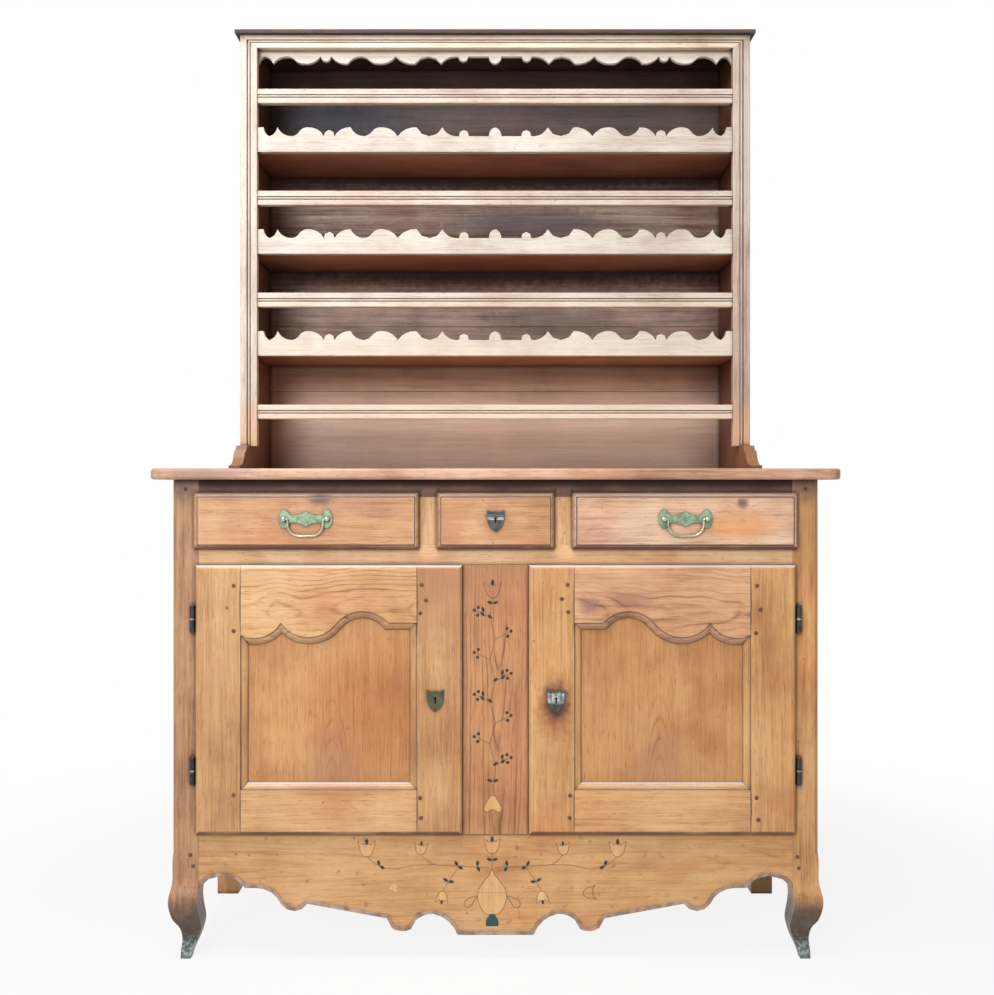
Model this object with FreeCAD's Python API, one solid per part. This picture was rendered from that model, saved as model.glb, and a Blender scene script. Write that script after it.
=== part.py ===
# Buffet and hutch: a cherry plate dresser with three drawers, two shaped doors and an open plate rack.
# Millimetres. X runs to the right, Y to the back, Z up. The origin lies on the floor under the middle
# of the buffet top. Paired pieces are made on the right-hand side and mirrored to the left.

import FreeCAD
import Part
import math
import os

Vector = FreeCAD.Vector

# Buffet: overall sizes and frame
top_width = 1420.0
top_depth = 515.0
top_thickness = 23.0
top_corner_radius = 25.0
top_edge_size = 6.0
buffet_height = 1017.0
front_overhang = 30.0
side_overhang = 43.0
rear_overhang = 5.5
post_size = 54.0
post_chamfer = 8.0
chamfer_stop_height = 25.0
chamfer_runout = 18.0
rear_post_size = 50.0
leg_height = 180.0
frame_thickness = 28.0
upper_rail_height = 36.0
drawer_opening_height = 98.0
middle_rail_height = 52.0
apron_height = 219.0
ground_clearance = 54.0
centre_drawer_opening = 224.0
divider_width = 55.0
centre_stile_width = 156.0
centre_stile_proud = 4.0
centre_stile_reveal = 1.0

# Buffet: sides, back and inside
side_set_in = 3.0
side_rail_thickness = 24.0
side_top_rail_height = 134.0
side_bottom_rail_height = 93.0
side_panel_thickness = 12.0
back_rail_thickness = 24.0
back_rail_height = 60.0
back_board_thickness = 12.0
back_board_count = 5
board_gap = 0.8
floor_thickness = 20.0
shelf_height = 540.0
shelf_thickness = 20.0
cleat_width = 50.0
cleat_thickness = 20.0
runner_thickness = 20.0
runner_bearing = 22.0
guide_height = 30.0
loose_gap = 0.5

# Joinery shared by all frames
tenon_thickness = 9.0
tenon_shoulder = 8.0
rail_tenon_length = 26.0
side_tenon_length = 24.0
stub_tenon_length = 12.0
door_tenon_length = 45.0
mortise_end_gap = 1.5
groove_depth = 8.0
panel_edge_gap = 1.0
overrun = 2.0

# Lipped fronts of drawers and doors
lip_thickness = 13.0
lip_gap = 0.3
rabbet_depth = 13.0
lip_edge_width = 8.0
lip_edge_depth = 7.0
drawer_lip = 9.0
door_lip = 10.0
hinge_side_lip = 5.0
front_gap = 1.5

# Drawers
drawer_rear_gap = 30.5
drawer_side_thickness = 12.0
drawer_back_thickness = 12.0
drawer_bottom_thickness = 8.0
drawer_bottom_rise = 8.0
drawer_bottom_groove = 5.0
drawer_side_gap = 2.0
drawer_top_gap = 6.0
runner_gap = 0.3
dovetail_length = 9.0
dovetail_count = 3

# Doors
door_stile_width = 94.0
top_rail_height = 150.0
bottom_rail_height = 93.0
moulding_width = 15.0
moulding_depth = 8.5
door_panel_thickness = 10.0

# Barrel hinges
hinge_height = 57.0
hinge_radius = 5.5
hinge_pin_radius = 2.0
hinge_pin_clearance = 0.05
hinge_ring_thickness = 3.0
hinge_ring_lip = 0.4
hinge_tongue_thickness = 2.0
hinge_tongue_length = 32.0
hinge_door_gap = 1.0
hinge_face_gap = 0.5
hinge_lift_gap = 0.3
upper_hinge_drop = 111.0
lower_hinge_rise = 131.0

# Locks and escutcheons
lock_width = 60.0
lock_height = 80.0
lock_depth = 14.0
lock_lift = 3.0
bolt_length = 34.0
bolt_height = 12.0
bolt_thickness = 6.0
bolt_gap = 0.3
bolt_travel = 9.0
bolt_set_back = 0.5
shield_width = 36.0
shield_height = 45.0
shield_thickness = 2.0
shield_rise = 254.0
shield_set_in = 56.0
keyhole_radius = 2.6
keyhole_slot_width = 3.0
keyhole_slot_length = 11.0
shield_band_height = 5.0
shield_band_proud = 2.0
shield_box_proud = 5.0

# Drawer pulls
pull_plate_width = 110.0
pull_plate_height = 38.0
pull_plate_thickness = 2.5
pull_rise = 4.0
pull_post_spacing = 89.0
pull_post_radius = 5.0
pull_post_length = 9.0
bail_radius = 2.2
bail_hole_clearance = 0.05
bail_bend_radius = 3.0
bail_drop = 35.0
bail_corner_radius = 24.0
bail_standoff = 5.5

# Hutch
hutch_height = 2000.0
hutch_set_in = 139.0
hutch_stile_width = 38.0
hutch_stile_thickness = 22.0
hutch_depth = 259.5
hutch_side_thickness = 24.0
hutch_back_thickness = 14.5
hutch_rabbet_width = 12.0
cap_thickness = 8.0
cap_overhang = 10.5
bracket_height = 53.0
bracket_reach = 125.0
frieze_height = 30.0
valance_height = 41.0
valance_thickness = 12.0
valance_drop = 58.0
valance_scallop = 16.0
bar_height = 32.0
bar_thickness = 18.0
bar_set_back = 3.0
gallery_height = 55.0
gallery_thickness = 18.0
gallery_scallop = 20.0
plate_shelf_thickness = 20.0
dado_depth = 8.0
plate_groove_width = 8.0
plate_groove_depth = 4.0
plate_groove_set_in = 35.0
moulding_groove_depth = 2.5

# How finely curves are cut: straight cuts in an arc, sections of a leg, and sides of round bars
arc_cuts = 4
door_arc_cuts = 8
leg_cut_count = 25
knuckle_sides = 16
pin_sides = 12
post_sides = 12
bail_sides = 8

# Shaped edges, as shares. The cabriole leg: height, outer face and inner face of each section,
# as shares of the leg's height and the post's size.
leg_shares = (
    (1.00, 0.000, 1.000),
    (0.83, -0.055, 0.990),
    (0.70, -0.145, 0.955),
    (0.56, -0.090, 1.000),
    (0.44, 0.055, 1.055),
    (0.35, 0.230, 1.030),
    (0.25, 0.300, 0.940),
    (0.11, 0.265, 0.740),
    (0.00, 0.250, 0.630),
)

# Lower edge of the apron from its middle to its end: along its half length, and down its height.
apron_start_shares = (0.000, 1.000)
apron_shares = (
    ((0.128, 1.000),),
    ((0.150, 0.895), (0.209, 0.802)),
    ((0.243, 0.817), (0.268, 0.862)),
    ((0.285, 0.945),),
    ((0.315, 0.965), (0.349, 0.936)),
    ((0.367, 0.843),),
    ((0.634, 0.706),),
    ((0.682, 0.775), (0.722, 0.712)),
    ((0.752, 0.606), (0.804, 0.558)),
    ((0.843, 0.558),),
    ((0.925, 0.443), (1.000, 0.560)),
)

# Scalloped edge of the hutch from its middle to its end: along the half length, and into the scallop.
scallop_start_shares = (0.000, 1.000)
scallop_shares = (
    ((0.018, 0.700), (0.026, 0.000)),
    ((0.110, 0.000),),
    ((0.131, 0.700), (0.152, 0.000)),
    ((0.168, 0.000),),
    ((0.203, 0.380), (0.222, 1.000)),
    ((0.276, 0.000), (0.330, 1.000)),
    ((0.380, 0.720), (0.410, 0.000)),
    ((0.436, 0.720), (0.481, 1.000)),
    ((0.503, 0.860), (0.519, 0.500)),
    ((0.535, 0.140), (0.554, 0.000)),
    ((0.589, 0.350), (0.608, 1.000)),
    ((0.651, 0.720), (0.676, 0.000)),
    ((0.698, 0.700), (0.720, 0.000)),
    ((0.745, 0.720), (0.790, 1.000)),
    ((0.810, 0.860), (0.825, 0.500)),
    ((0.839, 0.140), (0.858, 0.000)),
    ((0.896, 0.350), (0.916, 1.000)),
    ((0.928, 0.350), (0.950, 0.000)),
    ((0.966, 0.350), (0.974, 1.000)),
    ((1.000, 1.000),),
)

# Lower edge of a door's top rail, from the hinge side to the lock side: along the rail, and down it.
door_curve_start_shares = (0.000, 0.958)
door_curve_shares = (
    ((0.074, 1.000), (0.228, 0.790)),
    ((0.387, 0.990), (0.539, 0.810)),
    ((0.692, 0.630), (0.838, 0.790)),
    ((1.000, 0.790),),
)

# Rounded lip of drawers and doors, and the moulding round a door panel: inwards, and down from the face.
lip_edge_shares = ((0.00, 1.00), (0.20, 0.45), (0.55, 0.13), (1.00, 0.00))
moulding_shares = ((0.00, 0.30), (0.45, 0.42), (0.78, 0.66), (1.00, 1.00))

# Moulded face of the stiles, frieze and plate bars: across the width, and into the groove.
face_moulding_shares = (
    ((0.38, 0.00),),
    ((0.41, 1.00),),
    ((0.50, 0.05), (0.59, 1.00)),
    ((0.62, 0.30),),
    ((0.96, 0.30),),
    ((1.00, 0.90),),
)

# Shield escutcheon from its top middle round to its point: shares of the half width and the height.
shield_start_shares = (0.00, 0.95)
shield_shares = (
    ((0.50, 0.94), (1.00, 1.00)),
    ((0.92, 0.47),),
    ((0.60, 0.20), (0.00, 0.00)),
)
keyhole_height_share = 0.62
band_height_share = 0.66
box_half_width_share = 0.25
box_drop_share = 0.33

# Dovetails of the drawers: width as a share of their pitch, and flare as a share of their length
dovetail_width_share = 0.60
dovetail_flare_share = 0.33

# Pull backplate, a quarter from its top middle to its end: shares of the half width and half height.
pull_start_shares = (0.00, 0.80)
pull_shares = (
    ((0.22, 0.49), (0.44, 0.38)),
    ((0.54, 0.38),),
    ((0.62, 0.52), (0.68, 0.84)),
    ((0.80, 1.00), (0.93, 0.66)),
    ((0.98, 0.36), (1.00, 0.00)),
)

# Plate shelves, plate bars and joints of the back boards: shares of the hutch's height over the buffet
shelf_height_shares = (0.2626, 0.4969, 0.7313)
bar_height_shares = (0.1169, 0.3744, 0.6087, 0.8431)
back_joint_shares = (0.000, 0.199, 0.360, 0.587, 0.793, 1.000)

# Rounded edge of the buffet top: inwards, and down from its face
top_edge_shares = ((1.00, 0.00), (0.50, 0.13), (0.13, 0.50), (0.00, 1.00))

# Bracket foot of a hutch side, from its tip backwards: shares of its reach and height.
bracket_shares = (
    ((0.00, 0.16),),
    ((0.30, 0.30), (0.46, 0.78)),
    ((0.52, 0.70), (0.58, 0.82)),
    ((0.66, 1.00),),
)

# Places that follow from the sizes above
frame_front = front_overhang - top_depth / 2
frame_back = frame_front + frame_thickness
case_back = top_depth / 2 - rear_overhang
case_half = top_width / 2 - side_overhang
case_top = buffet_height - top_thickness
post_inner = case_half - post_size
post_back = frame_front + post_size
rear_post_front = case_back - rear_post_size
rear_post_inner = case_half - rear_post_size
drawer_top = case_top - upper_rail_height
drawer_bottom = drawer_top - drawer_opening_height
door_opening_top = drawer_bottom - middle_rail_height
apron_top = ground_clearance + apron_height
centre_half = centre_drawer_opening / 2
divider_outer = centre_half + divider_width
centre_stile_half = centre_stile_width / 2
tenon_set_in = (frame_thickness - tenon_thickness) / 2
frame_tenon_y = (frame_front + tenon_set_in, frame_back - tenon_set_in)
side_outer = case_half - side_set_in
side_inner = side_outer - side_rail_thickness
side_middle = (side_outer + side_inner) / 2
side_tenon_x = (side_middle - tenon_thickness / 2, side_middle + tenon_thickness / 2)
side_panel_x = (side_middle - side_panel_thickness / 2, side_middle + side_panel_thickness / 2)
side_top_rail_bottom = case_top - side_top_rail_height
side_bottom_rail_top = leg_height + side_bottom_rail_height
back_board_front = case_back - back_board_thickness
back_rail_front = back_board_front - back_rail_thickness
lip_back = frame_front - lip_gap
lip_front = lip_back - lip_thickness
front_back = frame_front + rabbet_depth
door_z = (apron_top - door_lip, door_opening_top + door_lip)
door_x = (centre_stile_half - door_lip, post_inner + hinge_side_lip)
lock_shoulder = door_x[0] + door_stile_width
hinge_shoulder = door_x[1] - door_stile_width
panel_front = lip_front + moulding_depth
panel_back = panel_front + door_panel_thickness
door_tenon_middle = (panel_front + panel_back) / 2
door_tenon_y = (door_tenon_middle - tenon_thickness / 2, door_tenon_middle + tenon_thickness / 2)
hinge_x = door_x[1] + hinge_door_gap + hinge_radius
hinge_y = frame_front - hinge_face_gap - hinge_radius
knuckle_height = (hinge_height - hinge_ring_thickness - hinge_lift_gap) / 2
hinge_heights = (door_z[0] + lower_hinge_rise, door_z[1] - upper_hinge_drop)
hutch_half = top_width / 2 - hutch_set_in
hutch_inner = hutch_half - hutch_side_thickness
rack_half = hutch_half - hutch_stile_width
hutch_back = case_back
hutch_front = hutch_back - hutch_depth
stile_back = hutch_front + hutch_stile_thickness
hutch_back_front = hutch_back - hutch_back_thickness
cap_bottom = hutch_height - cap_thickness
frieze_bottom = cap_bottom - frieze_height
bracket_top = buffet_height + bracket_height
bracket_tip = hutch_front - bracket_reach
bar_front = hutch_front + bar_set_back
gallery_front = stile_back - gallery_thickness
rack_height = cap_bottom - buffet_height
shelf_heights = [buffet_height + share * rack_height for share in shelf_height_shares]
bar_heights = [buffet_height + share * rack_height for share in bar_height_shares]
back_joints = [buffet_height + share * rack_height for share in back_joint_shares]
side_drawer_middle = (divider_outer + post_inner) / 2
pull_z = (drawer_bottom + drawer_top) / 2 + pull_rise
bail_y = lip_front - pull_plate_thickness - bail_standoff

# Every solid by name; grouped_nodes below says which of them share a node
pieces = {}


def block(x, y, z):
    """A block between three pairs of limits, each in either order."""
    corner = Vector(min(x), min(y), min(z))
    return Part.makeBox(abs(x[1] - x[0]), abs(y[1] - y[0]), abs(z[1] - z[0]), corner)


def mirrored(shape):
    return shape.mirror(Vector(0, 0, 0), Vector(1, 0, 0))


def add_pair(name, shape):
    """Keep a right-hand piece and its mirror image."""
    pieces[name + "_right"] = shape
    pieces[name + "_left"] = mirrored(shape)


def facing(y):
    """Places outline points (x, z) on a plane seen from the front."""
    return lambda point: Vector(point[0], y, point[1])


def from_above(z):
    """Places outline points (x, y) on a level plane."""
    return lambda point: Vector(point[0], point[1], z)


def from_side(x):
    """Places outline points (y, z) on a plane seen from the side."""
    return lambda point: Vector(x, point[0], point[1])


def straightened(start, outline, cuts):
    """Points along steps: (end) is a straight line, (through, end) an arc made in straight cuts."""
    points = []
    for step in outline:
        if len(step) == 1:
            points.append(step[0])
        else:
            corners = [Vector(x, y, 0) for x, y in (start,) + step]
            arc = Part.Arc(*corners).toShape()
            points += [(point.x, point.y) for point in arc.discretize(cuts + 1)[1:]]
        start = step[-1]
    return points


def wire(outline, place):
    """Closed wire through the steps of an outline."""
    points = straightened(outline[-1][-1], outline, arc_cuts)
    return Part.makePolygon([place(point) for point in points + points[:1]])


def extruded(outline, place, direction):
    return Part.Face(wire(outline, place)).extrude(direction)


def slab(outline, y):
    """A board with a front outline, between two depths."""
    return extruded(outline, facing(y[0]), Vector(0, y[1] - y[0], 0))


def scaled(shares, start, along, across):
    """Steps of shares as points: start plus shares of the two sizes."""
    return [tuple((start[0] + a * along, start[1] + b * across) for a, b in step) for step in shares]


def symmetric(start, half):
    """Steps of an edge that is mirrored about x = 0, from its left end to its right end."""
    ends = [start] + [step[-1] for step in half]
    left = []
    for index in reversed(range(len(half))):
        through = tuple((-x, z) for x, z in half[index][:-1])
        left.append(through + ((-ends[index][0], ends[index][1]),))
    return left + list(half)


def shaped_board(half_length, start_share, shares, base_z, edge_z, plain_z, y):
    """A board with one shaped edge; shares run from base_z to edge_z, and the other edge is plain."""
    start, = scaled(((start_share,),), (0, base_z), half_length, edge_z - base_z)
    half = scaled(shares, (0, base_z), half_length, edge_z - base_z)
    edge = symmetric(start[0], half)
    left_end = (-half[-1][-1][0], half[-1][-1][1])
    outline = edge + [((half_length, plain_z),), ((-half_length, plain_z),), (left_end,)]
    return slab(outline, y)


def inset(outline, distance):
    """Move a counter-clockwise front outline inwards; its corners stay sharp."""
    place = facing(0)
    curves = []
    throughs = []
    start = place(outline[-1][-1])
    for step in outline:
        end = place(step[-1])
        if len(step) == 1:
            along = (end - start).normalize()
            shift = Vector(-along.z, 0, along.x) * distance
            curves.append(Part.Line(start + shift, end + shift))
            throughs.append(())
        else:
            through = place(step[0])
            arc = Part.Arc(start, through, end).toShape().Curve
            turn = (through - start).cross(end - through).y
            radius = arc.Radius + math.copysign(distance, turn)
            moved = arc.Center + (through - arc.Center) * (radius / arc.Radius)
            curves.append(Part.Circle(arc.Center, Vector(0, 1, 0), radius))
            throughs.append(((moved.x, moved.z),))
        start = end
    moved_outline = []
    for index, step in enumerate(outline):
        corner = meeting(curves[index], curves[(index + 1) % len(curves)], place(step[-1]))
        moved_outline.append(throughs[index] + ((corner.x, corner.z),))
    return moved_outline


def meeting(curve, following, near):
    """Where two curves cross close to a point, or the middle of their gap if they only just miss."""
    crossings = [Vector(point.X, point.Y, point.Z) for point in curve.intersectCC(following)]
    if crossings:
        return min(crossings, key=lambda point: point.distanceToPoint(near))
    ends = [item.projectPoint(near, "NearestPoint") for item in (curve, following)]
    return (ends[0] + ends[1]) * 0.5


def rectangle(x, z):
    return [((x[1], z[0]),), ((x[1], z[1]),), ((x[0], z[1]),), ((x[0], z[0]),)]


def stack(outlines, places):
    """A solid with straight sides through outlines, each in its own plane."""
    wires = [wire(outline, place) for outline, place in zip(outlines, places)]
    return Part.makeLoft(wires, True, True)


def prism(sides, radius, foot, height):
    """An upright bar with many equal sides."""
    points = []
    for index in range(sides + 1):
        angle = 2 * math.pi * (index + 0.5) / sides
        points.append(foot + Vector(radius * math.cos(angle), radius * math.sin(angle), 0))
    return Part.Face(Part.makePolygon(points)).extrude(Vector(0, 0, height))


def join(carrier, receiver, axis, tenon):
    """Grow a tenon on one piece and cut its mortise, a little deeper, into another."""
    root, tip = tenon[axis]
    mortise = list(tenon)
    mortise[axis] = (root, tip + math.copysign(mortise_end_gap, tip - root))
    pieces[carrier] = pieces[carrier].fuse(block(*tenon))
    pieces[receiver] = pieces[receiver].cut(block(*mortise))


def join_both_sides(carrier, receiver, axis, tenon):
    """The same joint at the right and, mirrored, at the left."""
    join(carrier, receiver + "_right", axis, tenon)
    left = [(-tenon[0][0], -tenon[0][1]), tenon[1], tenon[2]]
    join(carrier, receiver + "_left", axis, left)


def make_front_posts():
    """Front posts, each in one piece with its cabriole leg."""
    post = block((post_inner, case_half), (frame_front, post_back), (leg_height, case_top))
    curve = Part.BSplineCurve()
    curve.interpolate([Vector(*row) for row in reversed(leg_shares)])
    outlines = []
    places = []
    for height, outer, inner in curve.discretize(leg_cut_count):
        x = (case_half - outer * post_size, case_half - inner * post_size)
        y = (frame_front + outer * post_size, frame_front + inner * post_size)
        outlines.append([((x[0], y[0]),), ((x[0], y[1]),), ((x[1], y[1]),), ((x[1], y[0]),)])
        places.append(from_above(height * leg_height))
    post = post.fuse(stack(outlines, places))
    stop = leg_height + chamfer_stop_height
    corner = (case_half, frame_front)
    edge_cut = [((corner[0] + overrun, corner[1] - overrun),)]
    edge_cut.append(((corner[0] + overrun, corner[1] + post_chamfer + overrun),))
    edge_cut.append(((corner[0] - post_chamfer - overrun, corner[1] - overrun),))
    start = stop + chamfer_runout
    chamfer = extruded(edge_cut, from_above(start), Vector(0, 0, case_top - start + overrun))
    runout_tip = Part.Vertex(corner[0] + overrun, corner[1] - overrun, stop)
    chamfer = chamfer.fuse(Part.makeLoft([runout_tip, wire(edge_cut, from_above(start))], True, True))
    add_pair("front_post", post.cut(chamfer))


def make_front_frame():
    """Rails, dividers, apron and centre stile of the front, tenoned together."""
    frame_y = (frame_front, frame_back)
    across = (-post_inner, post_inner)
    pieces["upper_front_rail"] = block(across, frame_y, (drawer_top, case_top))
    pieces["middle_front_rail"] = block(across, frame_y, (door_opening_top, drawer_bottom))
    apron = shaped_board(
        post_inner, apron_start_shares, apron_shares, apron_top, ground_clearance, apron_top, frame_y)
    pieces["front_apron"] = apron.cut(pieces["front_post_right"]).cut(pieces["front_post_left"])
    tenon_x = (post_inner, post_inner + rail_tenon_length)
    rail_limits = {
        "upper_front_rail": (drawer_top + tenon_shoulder, case_top - tenon_shoulder),
        "middle_front_rail": (door_opening_top + tenon_shoulder, drawer_bottom - tenon_shoulder),
        "front_apron": (leg_height + tenon_shoulder, apron_top - tenon_shoulder),
    }
    for rail, z in rail_limits.items():
        join_both_sides(rail, "front_post", 0, [tenon_x, frame_tenon_y, z])

    divider = block((centre_half, divider_outer), frame_y, (drawer_bottom, drawer_top))
    add_pair("drawer_divider", divider)
    for side in (1, -1):
        name = "drawer_divider_right" if side > 0 else "drawer_divider_left"
        x = (side * (centre_half + tenon_shoulder), side * (divider_outer - tenon_shoulder))
        join(name, "upper_front_rail", 2, [x, frame_tenon_y, (drawer_top, drawer_top + stub_tenon_length)])
        foot = (drawer_bottom, drawer_bottom - stub_tenon_length)
        join(name, "middle_front_rail", 2, [x, frame_tenon_y, foot])

    stile = block((-centre_stile_half, centre_stile_half), frame_y, (apron_top, door_opening_top))
    face_half = door_x[0] - centre_stile_reveal
    face_y = (frame_front - centre_stile_proud, frame_front)
    pieces["centre_stile"] = stile.fuse(block((-face_half, face_half), face_y, door_z))
    x = (tenon_shoulder - centre_stile_half, centre_stile_half - tenon_shoulder)
    head = (door_opening_top, door_opening_top + rail_tenon_length)
    join("centre_stile", "middle_front_rail", 2, [x, frame_tenon_y, head])
    join("centre_stile", "front_apron", 2, [x, frame_tenon_y, (apron_top, apron_top - rail_tenon_length)])


def make_sides():
    """Rear posts, side rails and the panels that float in their grooves."""
    rear_y = (rear_post_front, case_back)
    add_pair("rear_post", block((rear_post_inner, case_half), rear_y, (0, case_top)))
    rail_x = (side_inner, side_outer)
    rail_y = (post_back, rear_post_front)
    rail_limits = {
        "side_top_rail": (side_top_rail_bottom, case_top),
        "side_bottom_rail": (leg_height, side_bottom_rail_top),
    }
    groove_y = (post_back - groove_depth, rear_post_front + groove_depth)
    groove_z = (side_bottom_rail_top - groove_depth, side_top_rail_bottom + groove_depth)
    groove = block(side_panel_x, groove_y, groove_z)
    for rail, z in rail_limits.items():
        add_pair(rail, block(rail_x, rail_y, z))
    panel_y = (groove_y[0] + panel_edge_gap, groove_y[1] - panel_edge_gap)
    panel_z = (groove_z[0] + panel_edge_gap, groove_z[1] - panel_edge_gap)
    add_pair("side_panel", block(side_panel_x, panel_y, panel_z))
    for side, sign in (("_right", 1), ("_left", -1)):
        tenon_x = (sign * side_tenon_x[0], sign * side_tenon_x[1])
        for rail, z in rail_limits.items():
            tenon_z = (z[0] + tenon_shoulder + groove_depth, z[1] - tenon_shoulder - groove_depth)
            front = (post_back, post_back - side_tenon_length)
            join(rail + side, "front_post" + side, 1, [tenon_x, front, tenon_z])
            rear = (rear_post_front, rear_post_front + side_tenon_length)
            join(rail + side, "rear_post" + side, 1, [tenon_x, rear, tenon_z])
        side_groove = groove if sign > 0 else mirrored(groove)
        for name in ("side_top_rail", "side_bottom_rail", "front_post", "rear_post"):
            pieces[name + side] = pieces[name + side].cut(side_groove)


def make_back():
    """Three back rails tenoned into the rear posts, with upright boards nailed over them."""
    across = (-rear_post_inner, rear_post_inner)
    rail_y = (back_rail_front, back_board_front)
    floor_bottom = apron_top - floor_thickness
    middle = (back_rail_front + back_board_front) / 2
    tenon_y = (middle - tenon_thickness / 2, middle + tenon_thickness / 2)
    tenon_x = (rear_post_inner, rear_post_inner + rail_tenon_length)
    for name, top in (("top", case_top), ("middle", drawer_bottom), ("bottom", floor_bottom)):
        rail = "back_rail_" + name
        z = (top - back_rail_height, top)
        pieces[rail] = block(across, rail_y, z)
        tenon_z = (z[0] + tenon_shoulder, z[1] - tenon_shoulder)
        join_both_sides(rail, "rear_post", 0, [tenon_x, tenon_y, tenon_z])
    pitch = (2 * rear_post_inner + board_gap) / back_board_count
    for index in range(back_board_count):
        left = pitch * index - rear_post_inner
        x = (left, left + pitch - board_gap)
        z = (floor_bottom - back_rail_height, case_top)
        pieces["back_board_%d" % index] = block(x, (back_board_front, case_back), z)


def make_inside():
    """Cupboard floor and shelf on their cleats, and the runners and guides of the drawers."""
    inside_half = post_inner - loose_gap
    floor_z = (apron_top - floor_thickness, apron_top)
    shelf_z = (shelf_height - shelf_thickness, shelf_height)
    inside_x = (-inside_half, inside_half)
    pieces["cupboard_floor"] = block(inside_x, (frame_back, back_board_front), floor_z)
    pieces["cupboard_shelf"] = block(inside_x, (post_back, back_board_front), shelf_z)
    cleat_x = (side_inner - cleat_width, side_inner)
    between_posts = (post_back, rear_post_front)
    for name, top in (("floor_cleat", floor_z[0]), ("shelf_cleat", shelf_z[0])):
        cleat = block(cleat_x, between_posts, (top - cleat_thickness, top))
        add_pair(name, cleat)
    runner_y = (frame_back, back_rail_front)
    runner_z = (drawer_bottom - runner_thickness, drawer_bottom)
    guide_z = (drawer_bottom, drawer_bottom + guide_height)
    outer_reach = drawer_side_gap + runner_bearing
    add_pair("outer_runner", block((post_inner - outer_reach, post_inner), runner_y, runner_z))
    add_pair("outer_guide", block((post_inner, side_inner), between_posts, (runner_z[0], guide_z[1])))
    inner_x = (centre_half - outer_reach, divider_outer + outer_reach)
    add_pair("inner_runner", block(inner_x, runner_y, runner_z))
    add_pair("inner_guide", block((centre_half, divider_outer), runner_y, guide_z))


def top_outline(step):
    """Buffet top seen from above, drawn in by a step at its front and sides, with round front corners."""
    half = top_width / 2 - step
    front = step - top_depth / 2
    rear = top_depth / 2
    radius = top_corner_radius - step
    corner = radius * (1 - math.cos(math.pi / 4))
    right_corner = ((half - corner, front + corner), (half, front + radius))
    left_corner = ((corner - half, front + corner), (radius - half, front))
    rear_edge = [((half, rear),), ((-half, rear),), ((-half, front + radius),)]
    return [((half - radius, front),), right_corner] + rear_edge + [left_corner]


def make_top():
    """Top board with rounded front corners and softened front and side edges."""
    outlines = []
    places = []
    for inwards, down in top_edge_shares:
        outlines.append(top_outline(inwards * top_edge_size))
        places.append(from_above(buffet_height - down * top_edge_size))
    for inwards, down in reversed(top_edge_shares):
        outlines.append(top_outline(inwards * top_edge_size))
        places.append(from_above(case_top + down * top_edge_size))
    pieces["buffet_top"] = stack(outlines, places)


def lipped_front(x, z, laps, gaps):
    """A front that fills an opening: a rounded lip over the frame and a block inside it.

    The laps and gaps belong to the left, right, bottom and top sides.
    """
    lip_x = (x[0] - laps[0], x[1] + laps[1])
    lip_z = (z[0] - laps[2], z[1] + laps[3])
    outlines = []
    depths = []
    for inwards, down in reversed(lip_edge_shares):
        step = inwards * lip_edge_width
        outlines.append(rectangle((lip_x[0] + step, lip_x[1] - step), (lip_z[0] + step, lip_z[1] - step)))
        depths.append(lip_front + down * lip_edge_depth)
    lip = stack(outlines, [facing(y) for y in depths]).fuse(block(lip_x, (depths[-1], lip_back), lip_z))
    inside_x = (x[0] + gaps[0], x[1] - gaps[1])
    inside_z = (z[0] + gaps[2], z[1] - gaps[3])
    return lip.fuse(block(inside_x, (lip_back, front_back), inside_z)).removeSplitter()


def tail(x, z_middle, width):
    """One dovetail, wider at its tip, reaching forward from the back of a drawer front."""
    flare = dovetail_length * dovetail_flare_share
    root = width / 2 - flare / 2
    tip = width / 2 + flare / 2
    outline = [
        ((front_back, z_middle - root),),
        ((front_back, z_middle + root),),
        ((front_back - dovetail_length, z_middle + tip),),
        ((front_back - dovetail_length, z_middle - tip),),
    ]
    return extruded(outline, from_side(x[0]), Vector(x[1] - x[0], 0, 0))


def make_drawer(name, x):
    """A lipped front with dovetailed sides, a back, and a bottom that slides in grooves."""
    laps = (drawer_lip, drawer_lip, drawer_lip, drawer_lip)
    gaps = (front_gap, front_gap, runner_gap, front_gap)
    front = lipped_front(x, (drawer_bottom, drawer_top), laps, gaps)
    box_x = (x[0] + drawer_side_gap, x[1] - drawer_side_gap)
    box_z = (drawer_bottom + runner_gap, drawer_top - drawer_top_gap)
    rear = back_rail_front - drawer_rear_gap
    inner_x = (box_x[0] + drawer_side_thickness, box_x[1] - drawer_side_thickness)
    bottom_z = (box_z[0] + drawer_bottom_rise, box_z[0] + drawer_bottom_rise + drawer_bottom_thickness)
    bottom_x = (inner_x[0] - drawer_bottom_groove, inner_x[1] + drawer_bottom_groove)
    bottom = block(bottom_x, (front_back - drawer_bottom_groove, rear), bottom_z)
    pitch = (box_z[1] - box_z[0]) / dovetail_count
    front = front.cut(bottom)
    for side, outer, inner in (("left", box_x[0], inner_x[0]), ("right", box_x[1], inner_x[1])):
        board = block((outer, inner), (front_back, rear), box_z)
        for index in range(dovetail_count):
            key = tail((outer, inner), box_z[0] + pitch * (index + 0.5), pitch * dovetail_width_share)
            board = board.fuse(key)
            front = front.cut(key)
        pieces["%s_side_%s" % (name, side)] = board.cut(bottom)
    pieces[name + "_front"] = front
    pieces[name + "_back"] = block(inner_x, (rear - drawer_back_thickness, rear), (bottom_z[1], box_z[1]))
    pieces[name + "_bottom"] = bottom


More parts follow.
